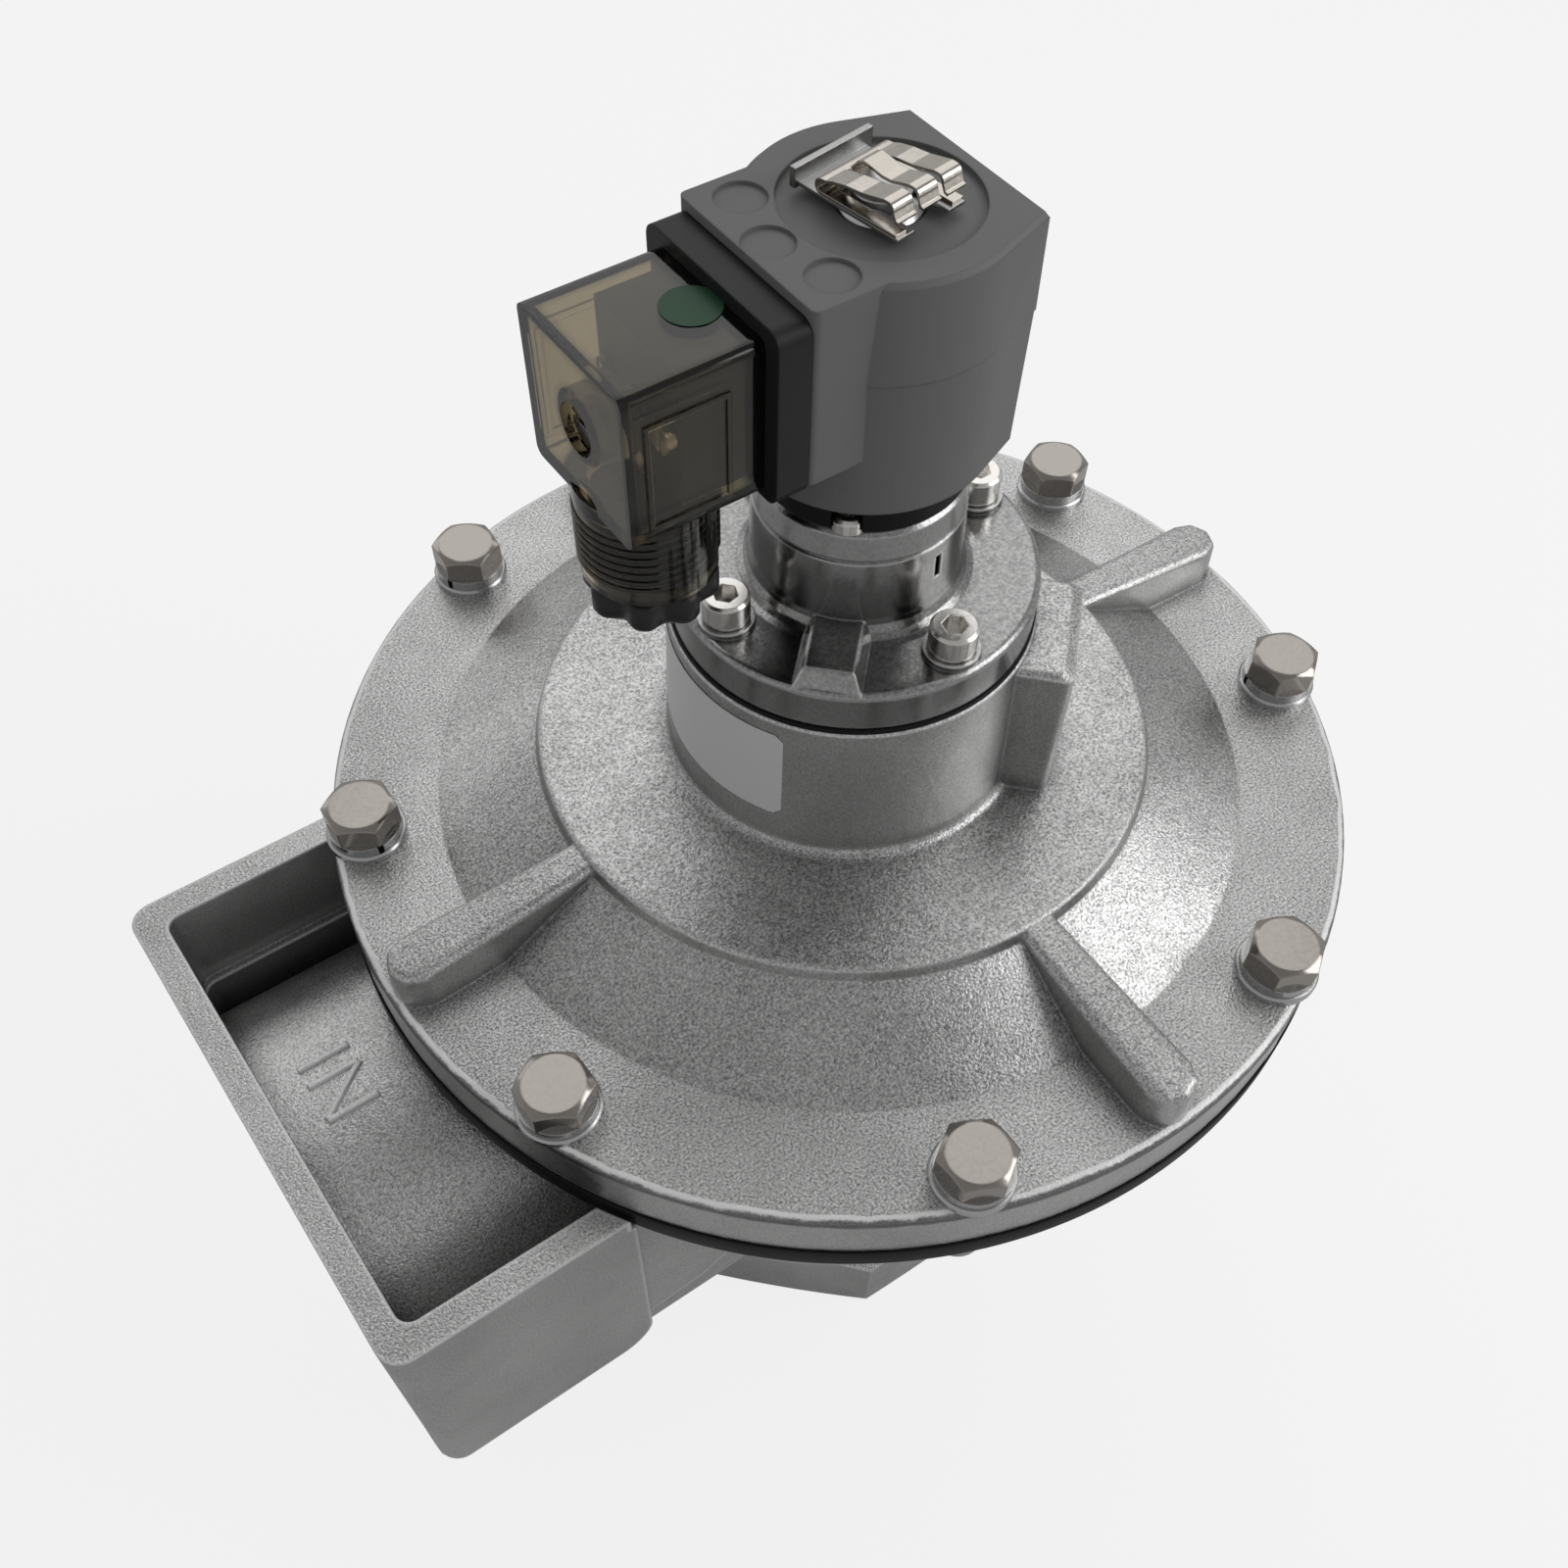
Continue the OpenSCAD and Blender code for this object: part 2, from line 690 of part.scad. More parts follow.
module cover_chamber() {
    foot_z = cover_face_z - cover_wall;
    slope_r = disc_d / 2 - 3;
    rotate_extrude()
        polygon([
            [0, rim_top_z - cut], [chamber_d / 2, rim_top_z - cut], [chamber_d / 2, rim_top_z + 1],
            [chamber_d / 2 - 3, foot_z], [slope_r, disc_edge_z - cover_wall + 1.5], [slope_r - 3, ceiling_z],
            [stop_outer_d / 2 + 1.5, ceiling_z], [stop_outer_d / 2, stop_z], [stop_outer_d / 2 - stop_wall, stop_z],
            [stop_outer_d / 2 - stop_wall - 1.5, ceiling_z], [pocket_d / 2 + 2, ceiling_z],
            [pocket_d / 2, ceiling_z + 2], [pocket_d / 2, pocket_top_z], [0, pocket_top_z]
        ]);
}

module pilot_chamber_cut() {
    rotate_extrude()
        polygon([
            [seat_outer_d / 2 + 1, pilot_chamber_floor_z], [pilot_chamber_d / 2, pilot_chamber_floor_z],
            [pilot_chamber_d / 2, boss_top_z + cut], [seat_outer_d / 2 - 1.2, boss_top_z + cut],
            [seat_outer_d / 2 - 1.2, boss_top_z - 0.01], [seat_outer_d / 2, boss_top_z - 1.2]
        ]);
    translate([0, 0, exhaust_z - exhaust_d / 2 + 0.6])
        cylinder(h = boss_top_z - exhaust_z + exhaust_d / 2 + cut, d = pilot_seat_bore_d);
    for (a = transfer_angles)
        rotate([0, 0, a])
            translate([transfer_r, 0, pocket_top_z - cut])
                cylinder(h = pilot_chamber_floor_z - pocket_top_z + 2 * cut, d = transfer_d, $fn = 48);
    rotate([0, 0, lug_angle])
        translate([0, 0, exhaust_z])
            bar_x(exhaust_d, 0, lug_reach + cut);
}

module main_cover() {
    color([0.70, 0.70, 0.69])
    difference() {
        union() {
            cover_dome();
            cover_lug();
            for (a = [0, 90, 180, 270])
                rotate([0, 0, a])
                    cover_rib();
        }
        cover_chamber();
        pilot_chamber_cut();
        at_cover_bolts()
            translate([0, 0, rim_top_z - cut])
                cylinder(h = cover_flange_t + 2 * cut, r = bolt_d / 2 + bolt_gap, $fn = 32);
        at_cap_screws()
            translate([0, 0, boss_top_z - 14])
                cylinder(h = 14 + cut, r = cap_screw_d / 2 + seat_gap, $fn = 32);
    }
}

// Main diaphragm stage

module main_diaphragm() {
    rim_inner_r = chamber_d / 2;
    sheet_z = seat_h + seat_disc_t;
    flat_r = plate_d / 2 + 3;
    span = rim_inner_r - flat_r;
    mid_z = sheet_z + sheet_t / 2;
    centre = [
        [flat_r, mid_z], [flat_r + 0.2 * span, mid_z + 0.2 * roll_h], [flat_r + 0.42 * span, mid_z + 0.8 * roll_h],
        [flat_r + 0.62 * span, mid_z + roll_h], [flat_r + 0.82 * span, mid_z + 0.86 * roll_h],
        [rim_inner_r, flange_face_h + rim_t / 2]
    ];
    color([0.10, 0.10, 0.10])
    difference() {
        rotate_extrude()
            polygon(concat(
                [[stud_d / 2 + seat_gap, sheet_z]],
                strip_side(centre, -sheet_t / 2),
                [[rim_inner_r + 1, flange_face_h], [cover_d / 2 - 0.5, flange_face_h]],
                arc(cover_d / 2 - 0.6, flange_face_h + rim_t / 2, 0.6, -60, 60, 3),
                [[cover_d / 2 - 0.5, rim_top_z], [rim_inner_r + 1, rim_top_z]],
                reversed(strip_side(centre, sheet_t / 2)),
                [[stud_d / 2 + seat_gap, sheet_z + sheet_t]]
            ));
        at_cover_bolts()
            translate([0, 0, flange_face_h - cut])
                cylinder(h = rim_t + 2 * cut, r = bolt_d / 2 + bolt_gap, $fn = 32);
    }
}

module diaphragm_plate() {
    color([0.72, 0.72, 0.73])
    translate([0, 0, plate_z])
        rotate_extrude()
            polygon([
                [stud_d / 2 + seat_gap, 0], [plate_d / 2 - 1, 0], [plate_d / 2, 1], [plate_d / 2, plate_t - 0.5],
                [plate_d / 2 - 0.5, plate_t], [stud_d / 2 + seat_gap, plate_t]
            ]);
}

module seat_disc() {
    seat_disc_d = seat_tube_d + 1;
    color([0.14, 0.13, 0.12])
    translate([0, 0, seat_h])
        rotate_extrude()
            polygon([
                [stud_d / 2 + seat_gap, 0], [seat_disc_d / 2 - 1, 0], [seat_disc_d / 2, 1],
                [seat_disc_d / 2, seat_disc_t], [stud_d / 2 + seat_gap, seat_disc_t]
            ]);
}

module seat_retainer() {
    color([0.74, 0.74, 0.75])
    union() {
        translate([0, 0, seat_h - retainer_t])
            rotate_extrude()
                polygon([
                    [0, 0], [retainer_d / 2 - 2.5, 0], [retainer_d / 2, 1.5], [retainer_d / 2, retainer_t],
                    [0, retainer_t]
                ]);
        translate([0, 0, seat_h - retainer_t - 4])
            hexagon_block(nut_flats, 5, true);
        translate([0, 0, seat_h - cut])
            cylinder(h = stud_top_z - seat_h + cut - 1, d = stud_d);
        translate([0, 0, stud_top_z - 1.01])
            cylinder(h = 1.01, d1 = stud_d, d2 = stud_d - 2);
    }
}

module diaphragm_nut() {
    color([0.78, 0.78, 0.79])
    translate([0, 0, plate_top_z])
        difference() {
            hexagon_block(nut_flats, nut_h, true);
            translate([0, 0, -cut])
                cylinder(h = nut_h + 2 * cut, d = stud_d + 2 * seat_gap);
        }
}

module main_spring() {
    color([0.62, 0.63, 0.66])
    coil_spring(main_spring_d, main_wire_d, plate_top_z, pocket_top_z, 4, 24, 8);
}

// Cover fasteners

module cover_bolts() {
    head_z = cover_face_z + washer_t + spring_washer_t;
    color([0.80, 0.77, 0.74])
    at_cover_bolts()
        translate([0, 0, head_z]) {
            hexagon_block(bolt_flats, bolt_head_h, false);
            translate([0, 0, -bolt_len])
                cylinder(h = bolt_len + 0.5, d = bolt_d, $fn = 48);
        }
}

module cover_spring_washers() {
    inner_r = bolt_d / 2 + 0.1;
    outer_r = 1.85 * bolt_d / 2;
    split = 1.2;
    color([0.62, 0.62, 0.62])
    at_cover_bolts()
        translate([0, 0, cover_face_z + washer_t])
            difference() {
                cylinder(h = spring_washer_t, r = outer_r, $fn = 48);
                translate([0, 0, -cut])
                    cylinder(h = spring_washer_t + 2 * cut, r = inner_r, $fn = 48);
                rotate([0, 0, 60])
                    translate([0, -split / 2, -cut])
                        cube([outer_r + cut, split, spring_washer_t + 2 * cut]);
            }
}

module cover_washers() {
    inner_r = bolt_d / 2 + 0.2;
    color([0.72, 0.72, 0.72])
    at_cover_bolts()
        translate([0, 0, cover_face_z])
            rotate_extrude($fn = 64)
                polygon([
                    [inner_r, 0], [washer_d / 2, 0], [washer_d / 2, washer_t - 0.4],
                    [washer_d / 2 - 0.4, washer_t], [inner_r, washer_t]
                ]);
}

// Pilot stage

module pilot_diaphragm() {
    color([0.09, 0.09, 0.09])
    difference() {
        translate([0, 0, boss_top_z])
            cylinder(h = pilot_sheet_t, d = pilot_rim_d);
        translate([0, 0, boss_top_z - cut])
            cylinder(h = pilot_sheet_t + 2 * cut, d = rivet_d + 2 * seat_gap, $fn = 48);
        at_cap_screws()
            translate([0, 0, boss_top_z - cut])
                cylinder(h = pilot_sheet_t + 2 * cut, r = cap_screw_d / 2 + bolt_gap, $fn = 32);
    }
}

module pilot_disc() {
    lower_d = pilot_seat_bore_d - 3;
    color([0.73, 0.73, 0.74])
    rotate_extrude()
        polygon([
            [0, boss_top_z - 1.5], [lower_d / 2 - 0.6, boss_top_z - 1.5], [lower_d / 2, boss_top_z - 0.9],
            [lower_d / 2, boss_top_z], [rivet_d / 2, boss_top_z], [rivet_d / 2, cap_z],
            [pilot_disc_d / 2, cap_z], [pilot_disc_d / 2, cap_z + pilot_disc_t], [0, cap_z + pilot_disc_t]
        ]);
}

module pilot_spring() {
    color([0.62, 0.63, 0.66])
    coil_spring(16, 1.1, cap_z + pilot_disc_t, pilot_pocket_z, 4, 20, 8);
}

module cap_shape() {
    neck_r = neck_d / 2;
    flange_r = cap_d / 2;
    fillet = 3.4;
    line_z = cap_top_z - 5.5;
    rotate_extrude()
        polygon(concat(
            [[0, cap_z], [flange_r - 0.3, cap_z], [flange_r, cap_z + 0.3]],
            arc(flange_r - 1.2, cap_flange_top_z - 1.2, 1.2, 0, 90, 3),
            reversed(arc(neck_r + 0.4 + fillet, cap_flange_top_z + fillet, fillet, 180, 270, 4)),
            [
                [neck_r, line_z - 0.5], [neck_r - 0.45, line_z - 0.2], [neck_r - 0.45, line_z + 0.1],
                [neck_r - 0.1, line_z + 0.4], [neck_r - 0.5, cap_top_z - 0.7], [neck_r - 1.2, cap_top_z],
                [0, cap_top_z]
            ]
        ));
}

module cap_pad() {
    inner_r = neck_d / 2 - 3;
    outer_r = cap_d / 2 - 0.4;
    draft = 1.4;
    rotate([0, 0, pad_angle])
        hull() {
            translate([inner_r, -pad_w / 2 - draft, cap_flange_top_z - 1.5])
                cube([outer_r - inner_r - 0.3, pad_w + 2 * draft, 1]);
            translate([inner_r, -pad_w / 2, cap_flange_top_z + pad_h - 0.6])
                cube([outer_r - inner_r - draft - 0.6, pad_w, 0.1]);
            translate([inner_r, -pad_w / 2 + 0.5, cap_flange_top_z + pad_h - 0.1])
                cube([outer_r - inner_r - draft - 1.1, pad_w - 1, 0.1]);
        }
}

module pilot_cap() {
    slot_w = 1.3;
    slot_h = 4.5;
    slot_angle = -81;
    color([0.78, 0.78, 0.77])
    difference() {
        union() {
            cap_shape();
            cap_pad();
            at_cap_screws()
                translate([0, 0, cap_flange_top_z - cut])
                    cylinder(h = cap_seat_h + cut, d = cap_seat_d, $fn = 48);
        }
        rotate_extrude()
            polygon([
                [0, cap_z - cut], [pilot_chamber_d / 2, cap_z - cut], [pilot_chamber_d / 2, cap_z + 2.5],
                [pilot_chamber_d / 2 - 2, cap_z + 4.5], [pilot_pocket_d / 2, cap_z + 4.5],
                [pilot_pocket_d / 2, pilot_pocket_z], [0, pilot_pocket_z]
            ]);
        rotate_extrude()
            polygon([
                [4, nozzle_floor_z], [ring_seat_d / 2, nozzle_floor_z], [ring_seat_d / 2, ring_seat_z],
                [tube_base_d / 2, ring_seat_z], [tube_base_d / 2, cap_top_z + cut], [0, cap_top_z + cut],
                [0, nozzle_top_z], [2.4, nozzle_top_z]
            ]);
        translate([0, 0, pilot_pocket_z - cut])
            cylinder(h = nozzle_top_z - pilot_pocket_z + 2 * cut, d = 2.4, $fn = 32);
        rotate([0, 0, slot_angle])
            translate([0, -slot_w / 2, nozzle_floor_z + 0.3])
                cube([neck_d, slot_w, slot_h]);
        at_cap_screws()
            translate([0, 0, cap_z - cut])
                cylinder(h = cap_flange_t + cap_seat_h + 2 * cut, r = cap_screw_d / 2 + bolt_gap, $fn = 32);
        rotate([0, 0, pad_angle])
            translate([locating_r(), 0, cap_top_z - 8])
                cylinder(h = 8 + cut, d = 2.5 + 2 * seat_gap, $fn = 32);
    }
}

// Distance of the locating screw from the axis, in the middle of the neck's wall
function locating_r() = (neck_d + tube_base_d) / 4;

module pilot_cap_screws() {
    head_h = cap_screw_d;
    socket_flats = 0.8 * cap_screw_d;
    shank = cap_flange_t + cap_seat_h + pilot_sheet_t + 2 * cap_screw_d;
    color([0.75, 0.74, 0.72])
    at_cap_screws()
        translate([0, 0, cap_screw_head_z])
            difference() {
                union() {
                    rotate_extrude($fn = 64)
                        polygon([
                            [0, 0], [cap_screw_head_d / 2 - 0.2, 0], [cap_screw_head_d / 2, 0.2],
                            [cap_screw_head_d / 2, head_h - 0.5], [cap_screw_head_d / 2 - 0.5, head_h], [0, head_h]
                        ]);
                    translate([0, 0, -shank])
                        cylinder(h = shank + 0.5, d = cap_screw_d, $fn = 48);
                }
                translate([0, 0, 0.4 * head_h])
                    cylinder(h = head_h, d = socket_flats / cos(30), $fn = 6);
            }
}

module locating_screw() {
    head_d = 6.2;
    head_h = 2.7;
    color([0.80, 0.80, 0.80])
    rotate([0, 0, pad_angle])
        translate([locating_r(), 0, cap_top_z])
            difference() {
                union() {
                    rotate_extrude($fn = 48)
                        polygon([
                            [0, 0], [head_d / 2, 0], [head_d / 2, head_h - 0.6], [head_d / 2 - 0.6, head_h],
                            [0, head_h]
                        ]);
                    translate([0, 0, -7])
                        cylinder(h = 7.5, d = 2.5, $fn = 32);
                }
                translate([0, 0, head_h - 1.5])
                    cylinder(h = 1.5 + cut, d = 3.6, $fn = 6);
            }
}

// Solenoid

module guide_tube() {
    outer_r = tube_d / 2;
    color([0.70, 0.70, 0.71])
    difference() {
        rotate_extrude()
            polygon([
                [0, tube_base_z], [tube_base_d / 2 - seat_gap, tube_base_z], [tube_base_d / 2 - seat_gap, cap_top_z],
                [outer_r, cap_top_z], [outer_r, groove_z - 1.6], [outer_r - 1, groove_z], [groove_d / 2, groove_z],
                [groove_d / 2, groove_z + groove_h], [head_d / 2, groove_z + groove_h],
                [head_d / 2, groove_z + groove_h + head_t - 0.7], [head_d / 2 - 0.7, groove_z + groove_h + head_t],
                [0, groove_z + groove_h + head_t]
            ]);
        translate([0, 0, tube_base_z - cut])
            cylinder(h = core_z - tube_base_z + cut, d = tube_bore_d);
    }
}

module guide_tube_ring() {
    color([0.08, 0.08, 0.08])
    translate([0, 0, ring_seat_z + ring_wire_d / 2])
        rotate_extrude()
            translate([(tube_base_d + ring_seat_d) / 4, 0])
                circle(d = ring_wire_d, $fn = 24);
}

module plunger() {
    outer_r = tube_bore_d / 2 - run_gap;
    color([0.66, 0.66, 0.68])
    difference() {
        translate([0, 0, nozzle_top_z])
            rotate_extrude($fn = 64)
                polygon([
                    [0, 0], [outer_r - 0.8, 0], [outer_r, 0.8], [outer_r, plunger_len - 0.5],
                    [outer_r - 0.5, plunger_len], [0, plunger_len]
                ]);
        translate([0, 0, nozzle_top_z - cut])
            cylinder(h = plunger_seal_t + cut, d = plunger_seal_d + 2 * seat_gap, $fn = 48);
        translate([0, 0, plunger_top_z - plunger_pocket_depth])
            cylinder(h = plunger_pocket_depth + cut, d = plunger_pocket_d, $fn = 48);
    }
}

module plunger_seal() {
    color([0.12, 0.12, 0.12])
    translate([0, 0, nozzle_top_z])
        cylinder(h = plunger_seal_t, d = plunger_seal_d, $fn = 48);
}

module plunger_spring() {
    color([0.62, 0.63, 0.66])
    coil_spring(4.6, 0.6, plunger_top_z - plunger_pocket_depth, core_z, 8, 14, 6);
}

module coil_seal() {
    lip = 0.8;
    color([0.07, 0.07, 0.07])
    difference() {
        translate([0, 0, cap_top_z])
            rotate_extrude()
                polygon([
                    [tube_d / 2 + run_gap, 0], [coil_seal_d / 2 - lip, 0], [coil_seal_d / 2, lip],
                    [coil_seal_d / 2, coil_seal_h], [tube_d / 2 + run_gap, coil_seal_h]
                ]);
        rotate([0, 0, pad_angle])
            translate([locating_r(), 0, cap_top_z - cut])
                cylinder(h = coil_seal_h + 2 * cut, d = 6.8, $fn = 48);
    }
}

// Plan of the coil: a round part of radius r that runs into a square back, made larger by grow
function coil_plan(r, grow) =
    let (back = coil_back + grow, half = coil_back_w / 2 + grow)
    let (turn = atan2(half, back) + acos(r / norm([back, half])))
    concat(arc(0, 0, r, turn, 360 - turn, 56), [[back, -half], [back, half]]);

// Coil without its plug block: two halves that meet at the parting line and draw in away from it
module coil_body() {
    r = coil_d / 2;
    slice = 0.02;
    top_r = r - coil_draft / 2;
    for (part = [
        [coil_z, r - 0.4, -parting_step - 0.2, parting_z + 0.3, r - parting_step, -parting_step],
        [parting_z, r, 0, coil_top_z - coil_edge, top_r, -0.2],
        [coil_top_z - coil_edge - 0.1, top_r, -0.2, coil_top_z, top_r - coil_edge, -coil_edge]
    ])
        hull() {
            translate([0, 0, part[0]])
                linear_extrude(slice)
                    polygon(coil_plan(part[1], part[2]));
            translate([0, 0, part[3] - slice])
                linear_extrude(slice)
                    polygon(coil_plan(part[4], part[5]));
        }
}

module coil_block() {
    block_len = block_reach - 6;
    translate([-block_reach + block_len / 2, 0, block_z])
        rounded_plate(block_len, block_w, 1.2, coil_top_z - block_z);
}

module coil_housing() {
    cavity_r = coil_d / 2 - coil_shell + seat_gap;
    dimple_x = -block_reach + 5.4;
    color([0.34, 0.35, 0.34])
    difference() {
        union() {
            coil_body();
            coil_block();
        }
        translate([0, 0, coil_z - cut])
            cylinder(h = coil_h + 2 * cut, r = tube_d / 2 + run_gap);
        translate([0, 0, coil_z + 3])
            cylinder(h = coil_h - 6, r = cavity_r);
        translate([0, 0, coil_top_z - recess_depth])
            cylinder(h = recess_depth + cut, d = recess_d);
        for (p = [[0, 10.9], [-2.9, 0], [0, -10.9]])
            translate([dimple_x + p[0] + 1.5, p[1], coil_top_z - dimple_depth])
                cylinder(h = dimple_depth + cut, d = dimple_d, $fn = 48);
        translate([0, 0, plug_mid_z])
            bar_x(screw_hole_d, -block_reach - cut, -block_reach + 5.5);
        terminal_blades(seat_gap, 4.5);
    }
}

module coil_winding() {
    outer_r = coil_d / 2 - coil_shell - yoke_wall - 0.1;
    bobbin_t = 1.5;
    base_z = coil_z + 5 + seat_gap;
    h = coil_h - 10 - 2 * seat_gap;
    color([0.72, 0.38, 0.18])
    rotate_extrude()
        polygon([
            [tube_d / 2 + 1, base_z], [outer_r, base_z], [outer_r, base_z + bobbin_t],
            [outer_r - 0.8, base_z + bobbin_t], [outer_r - 0.8, base_z + h - bobbin_t],
            [outer_r, base_z + h - bobbin_t], [outer_r, base_z + h], [tube_d / 2 + 1, base_z + h]
        ]);
}

module coil_yoke() {
    outer_r = coil_d / 2 - coil_shell;
    inner_r = outer_r - yoke_wall;
    base_z = coil_z + 3 + seat_gap;
    h = coil_h - 6 - 2 * seat_gap;
    color([0.45, 0.46, 0.48])
    rotate_extrude()
        polygon([
            [tube_d / 2 + 0.4, base_z], [outer_r, base_z], [outer_r, base_z + h], [tube_d / 2 + 0.4, base_z + h],
            [tube_d / 2 + 0.4, base_z + h - yoke_plate], [inner_r, base_z + h - yoke_plate],
            [inner_r, base_z + yoke_plate], [tube_d / 2 + 0.4, base_z + yoke_plate]
        ]);
}

// The three flat blades, sunk into the coil by the given depth and made larger by grow
module terminal_blades(grow, sunk) {
    for (p = blade_places)
        translate([-block_reach - blade_len - grow, p[0], plug_mid_z + p[1]])
            rotate([p[2] * 90, 0, 0])
                translate([0, -blade_t / 2 - grow, -blade_w / 2 - grow])
                    cube([blade_len + sunk + 2 * grow, blade_t + 2 * grow, blade_w + 2 * grow]);
}

module coil_terminals() {
    color([0.83, 0.80, 0.66])
    terminal_blades(0, 4.4);
}

module retaining_plate() {
    plate_t = 0.5;
    front = 9.4;
    back = 10.4;
    tab_w = 15.8;
    tab_t = 1;
    plate_z = groove_z + seat_gap;
    color([0.60, 0.60, 0.60])
    rotate([0, 0, clip_turn])
        difference() {
            union() {
                translate([-clip_w / 2, -front, plate_z])
                    cube([clip_w, front + back, plate_t]);
                translate([-tab_w / 2, back - tab_t, plate_z])
                    cube([tab_w, tab_t, coil_top_z + tab_h - plate_z]);
            }
            translate([0, 0, plate_z - cut])
                cylinder(h = plate_t + 2 * cut, r = groove_d / 2 + run_gap, $fn = 48);
            translate([-groove_d / 2 - run_gap, -front - cut, plate_z - cut])
                cube([groove_d + 2 * run_gap, front + cut, plate_t + 2 * cut]);
        }
}

module spring_clip() {
    leaf_t = 0.45;
    leaf_z = groove_z + seat_gap + 0.5;
    front = 9;
    finger_w = 3.8;
    slot_w = head_d + 0.6;
    bend_y = 5.3;
    bend_r = 0.95;
    bend_z = leaf_z + leaf_t / 2 + bend_r;
    roll_z = bend_z + bend_r;
    bend_turn = [for (a = [-90 : 22.5 : 90]) [bend_y + bend_r * cos(a), bend_z + bend_r * sin(a)]];
    base = concat([[-front, leaf_z + leaf_t / 2]], bend_turn, [[bend_y - 1.2, roll_z + 0.1]]);
    tip = concat(
        [[-5, roll_z + 1.9], [-6.4, roll_z + 2.2]],
        arc(-7.2, roll_z + 1.2, 1, 90, 180, 5),
        [[-8.7, roll_z + 0.2], [-9.2, roll_z + 0.05]]
    );
    side_finger = concat(
        [[bend_y - 1, roll_z + 0.1], [3.1, roll_z + 0.55], [0.6, roll_z + 1.05], [-2.4, roll_z + 1.35]],
        tip
    );
    middle_finger = concat(
        [[bend_y - 1, roll_z + 0.1], [3.6, roll_z + 0.8], [2.9, roll_z + 1.6]],
        arc(2, roll_z + 1.1, 0.8, 45, 100, 3),
        [[0.6, roll_z + 1.7], [-1.4, roll_z + 1.35], [-3.2, roll_z + 1.4]],
        tip
    );
    color([0.80, 0.78, 0.74])
    rotate([0, 0, clip_turn])
        union() {
            difference() {
                leaf(base, leaf_t, clip_w, 0);
                translate([-slot_w / 2, -front - cut, leaf_z - cut])
                    cube([slot_w, front + 4.6, 2 * cut + leaf_t]);
                translate([0, 0, leaf_z - cut])
                    cylinder(h = 2 * cut + leaf_t, r = slot_w / 2, $fn = 48);
            }
            for (side = [-1, 1])
                leaf(side_finger, leaf_t, finger_w, side * (clip_w - finger_w) / 2);
            leaf(middle_finger, leaf_t, finger_w, 0);
        }
}

// Strip of sheet metal whose side view follows a path of [y, z] points
module leaf(path, t, w, x) {
    translate([x - w / 2, 0, 0])
        rotate([90, 0, 90])
            linear_extrude(w)
                polygon(strip(path, t));
}

// Plug

module plug_gasket() {
    color([0.06, 0.06, 0.06])
    difference() {
        translate([plug_face_x, 0, gasket_mid_z])
            rotate([90, 0, 90])
                rounded_plate(gasket_w, gasket_h, 2.5, gasket_t);
        translate([plug_face_x - cut, -block_nose / 2 - 0.2, plug_mid_z - block_nose / 2 - 0.2])
            cube([gasket_t + 2 * cut, block_nose + 0.4, block_nose + 0.4]);
    }
}

module plug_shell() {
    corner_r = 1.6;
    union() {
        translate([plug_end_x, 0, plug_mid_z])
            rotate([90, 0, 90])
                rounded_plate(plug_w, plug_h, corner_r, plug_len);
        translate([cable_x, 0, cable_neck_z])
            rotate_extrude($fn = 64)
                polygon([
                    [0, 0], [cable_neck_d / 2 - 0.6, 0], [cable_neck_d / 2, 0.6],
                    [cable_neck_d / 2, cable_neck_len + 1], [0, cable_neck_len + 1]
                ]);
        for (side = [-1, 1])
            plug_side_frame(side);
    }
}

// Raised frame on the side wall
module plug_side_frame(side) {
    frame_l = 14;
    frame_tall = 17.7;
    line = 0.8;
    proud = 0.35;
    translate([plug_face_x - 12.7, side * (plug_w / 2 + proud - 1), plug_mid_z - 1.3])
        difference() {
            cube([frame_l, 2, frame_tall], center = true);
            cube([frame_l - 2 * line, 4, frame_tall - 2 * line], center = true);
        }
}

module plug_housing() {
    boss_d = 11.2;
    boss_len = 6.6;
    color([0.35, 0.33, 0.28, 0.6])
    difference() {
        union() {
            difference() {
                plug_shell();
                translate([
                    plug_end_x + plug_wall, -plug_w / 2 + plug_wall, plug_floor_z + plug_wall
                ])
                    cube([plug_len, plug_w - 2 * plug_wall, plug_h - 2 * plug_wall]);
            }
            translate([0, 0, plug_mid_z])
                bar_x(boss_d, plug_end_x + plug_wall - 0.5, plug_end_x + boss_len);
        }
        translate([0, 0, plug_mid_z])
            bar_x(plug_recess_d, plug_end_x - cut, plug_end_x + plug_recess_depth);
        translate([0, 0, plug_mid_z])
            bar_x(plug_screw_d + 0.5, plug_end_x, plug_end_x + boss_len + cut);
        translate([cable_x, 0, cable_neck_z - cut])
            cylinder(h = gland_bore_top_z - cable_neck_z + cut, d = gland_bore_d, $fn = 64);
        translate([cable_x, 0, cable_neck_z])
            cylinder(h = plug_floor_z + plug_wall - cable_neck_z + 0.01, d = gland_bore_d - 4, $fn = 64);
    }
}

module terminal_block() {
    color([0.08, 0.08, 0.08])
    difference() {
        union() {
            translate([insert_x, -insert_w / 2, plug_mid_z - insert_w / 2])
                cube([insert_len, insert_w, insert_w]);
            translate([plug_face_x - cut, -block_nose / 2, plug_mid_z - block_nose / 2])
                cube([gasket_t + cut - 0.3, block_nose, block_nose]);
        }
        contact_boxes(seat_gap);
        translate([0, 0, plug_mid_z])
            bar_x(plug_screw_d + 0.6, insert_x - cut, -block_reach + cut);
        for (p = blade_places)
            translate([insert_x - cut, 0.9 * p[0], plug_mid_z + 0.9 * p[1]])
                rotate([0, 90, 0])
                    cylinder(h = 4 + cut, d = 2.8 + 2 * seat_gap, $fn = 32);
    }
}

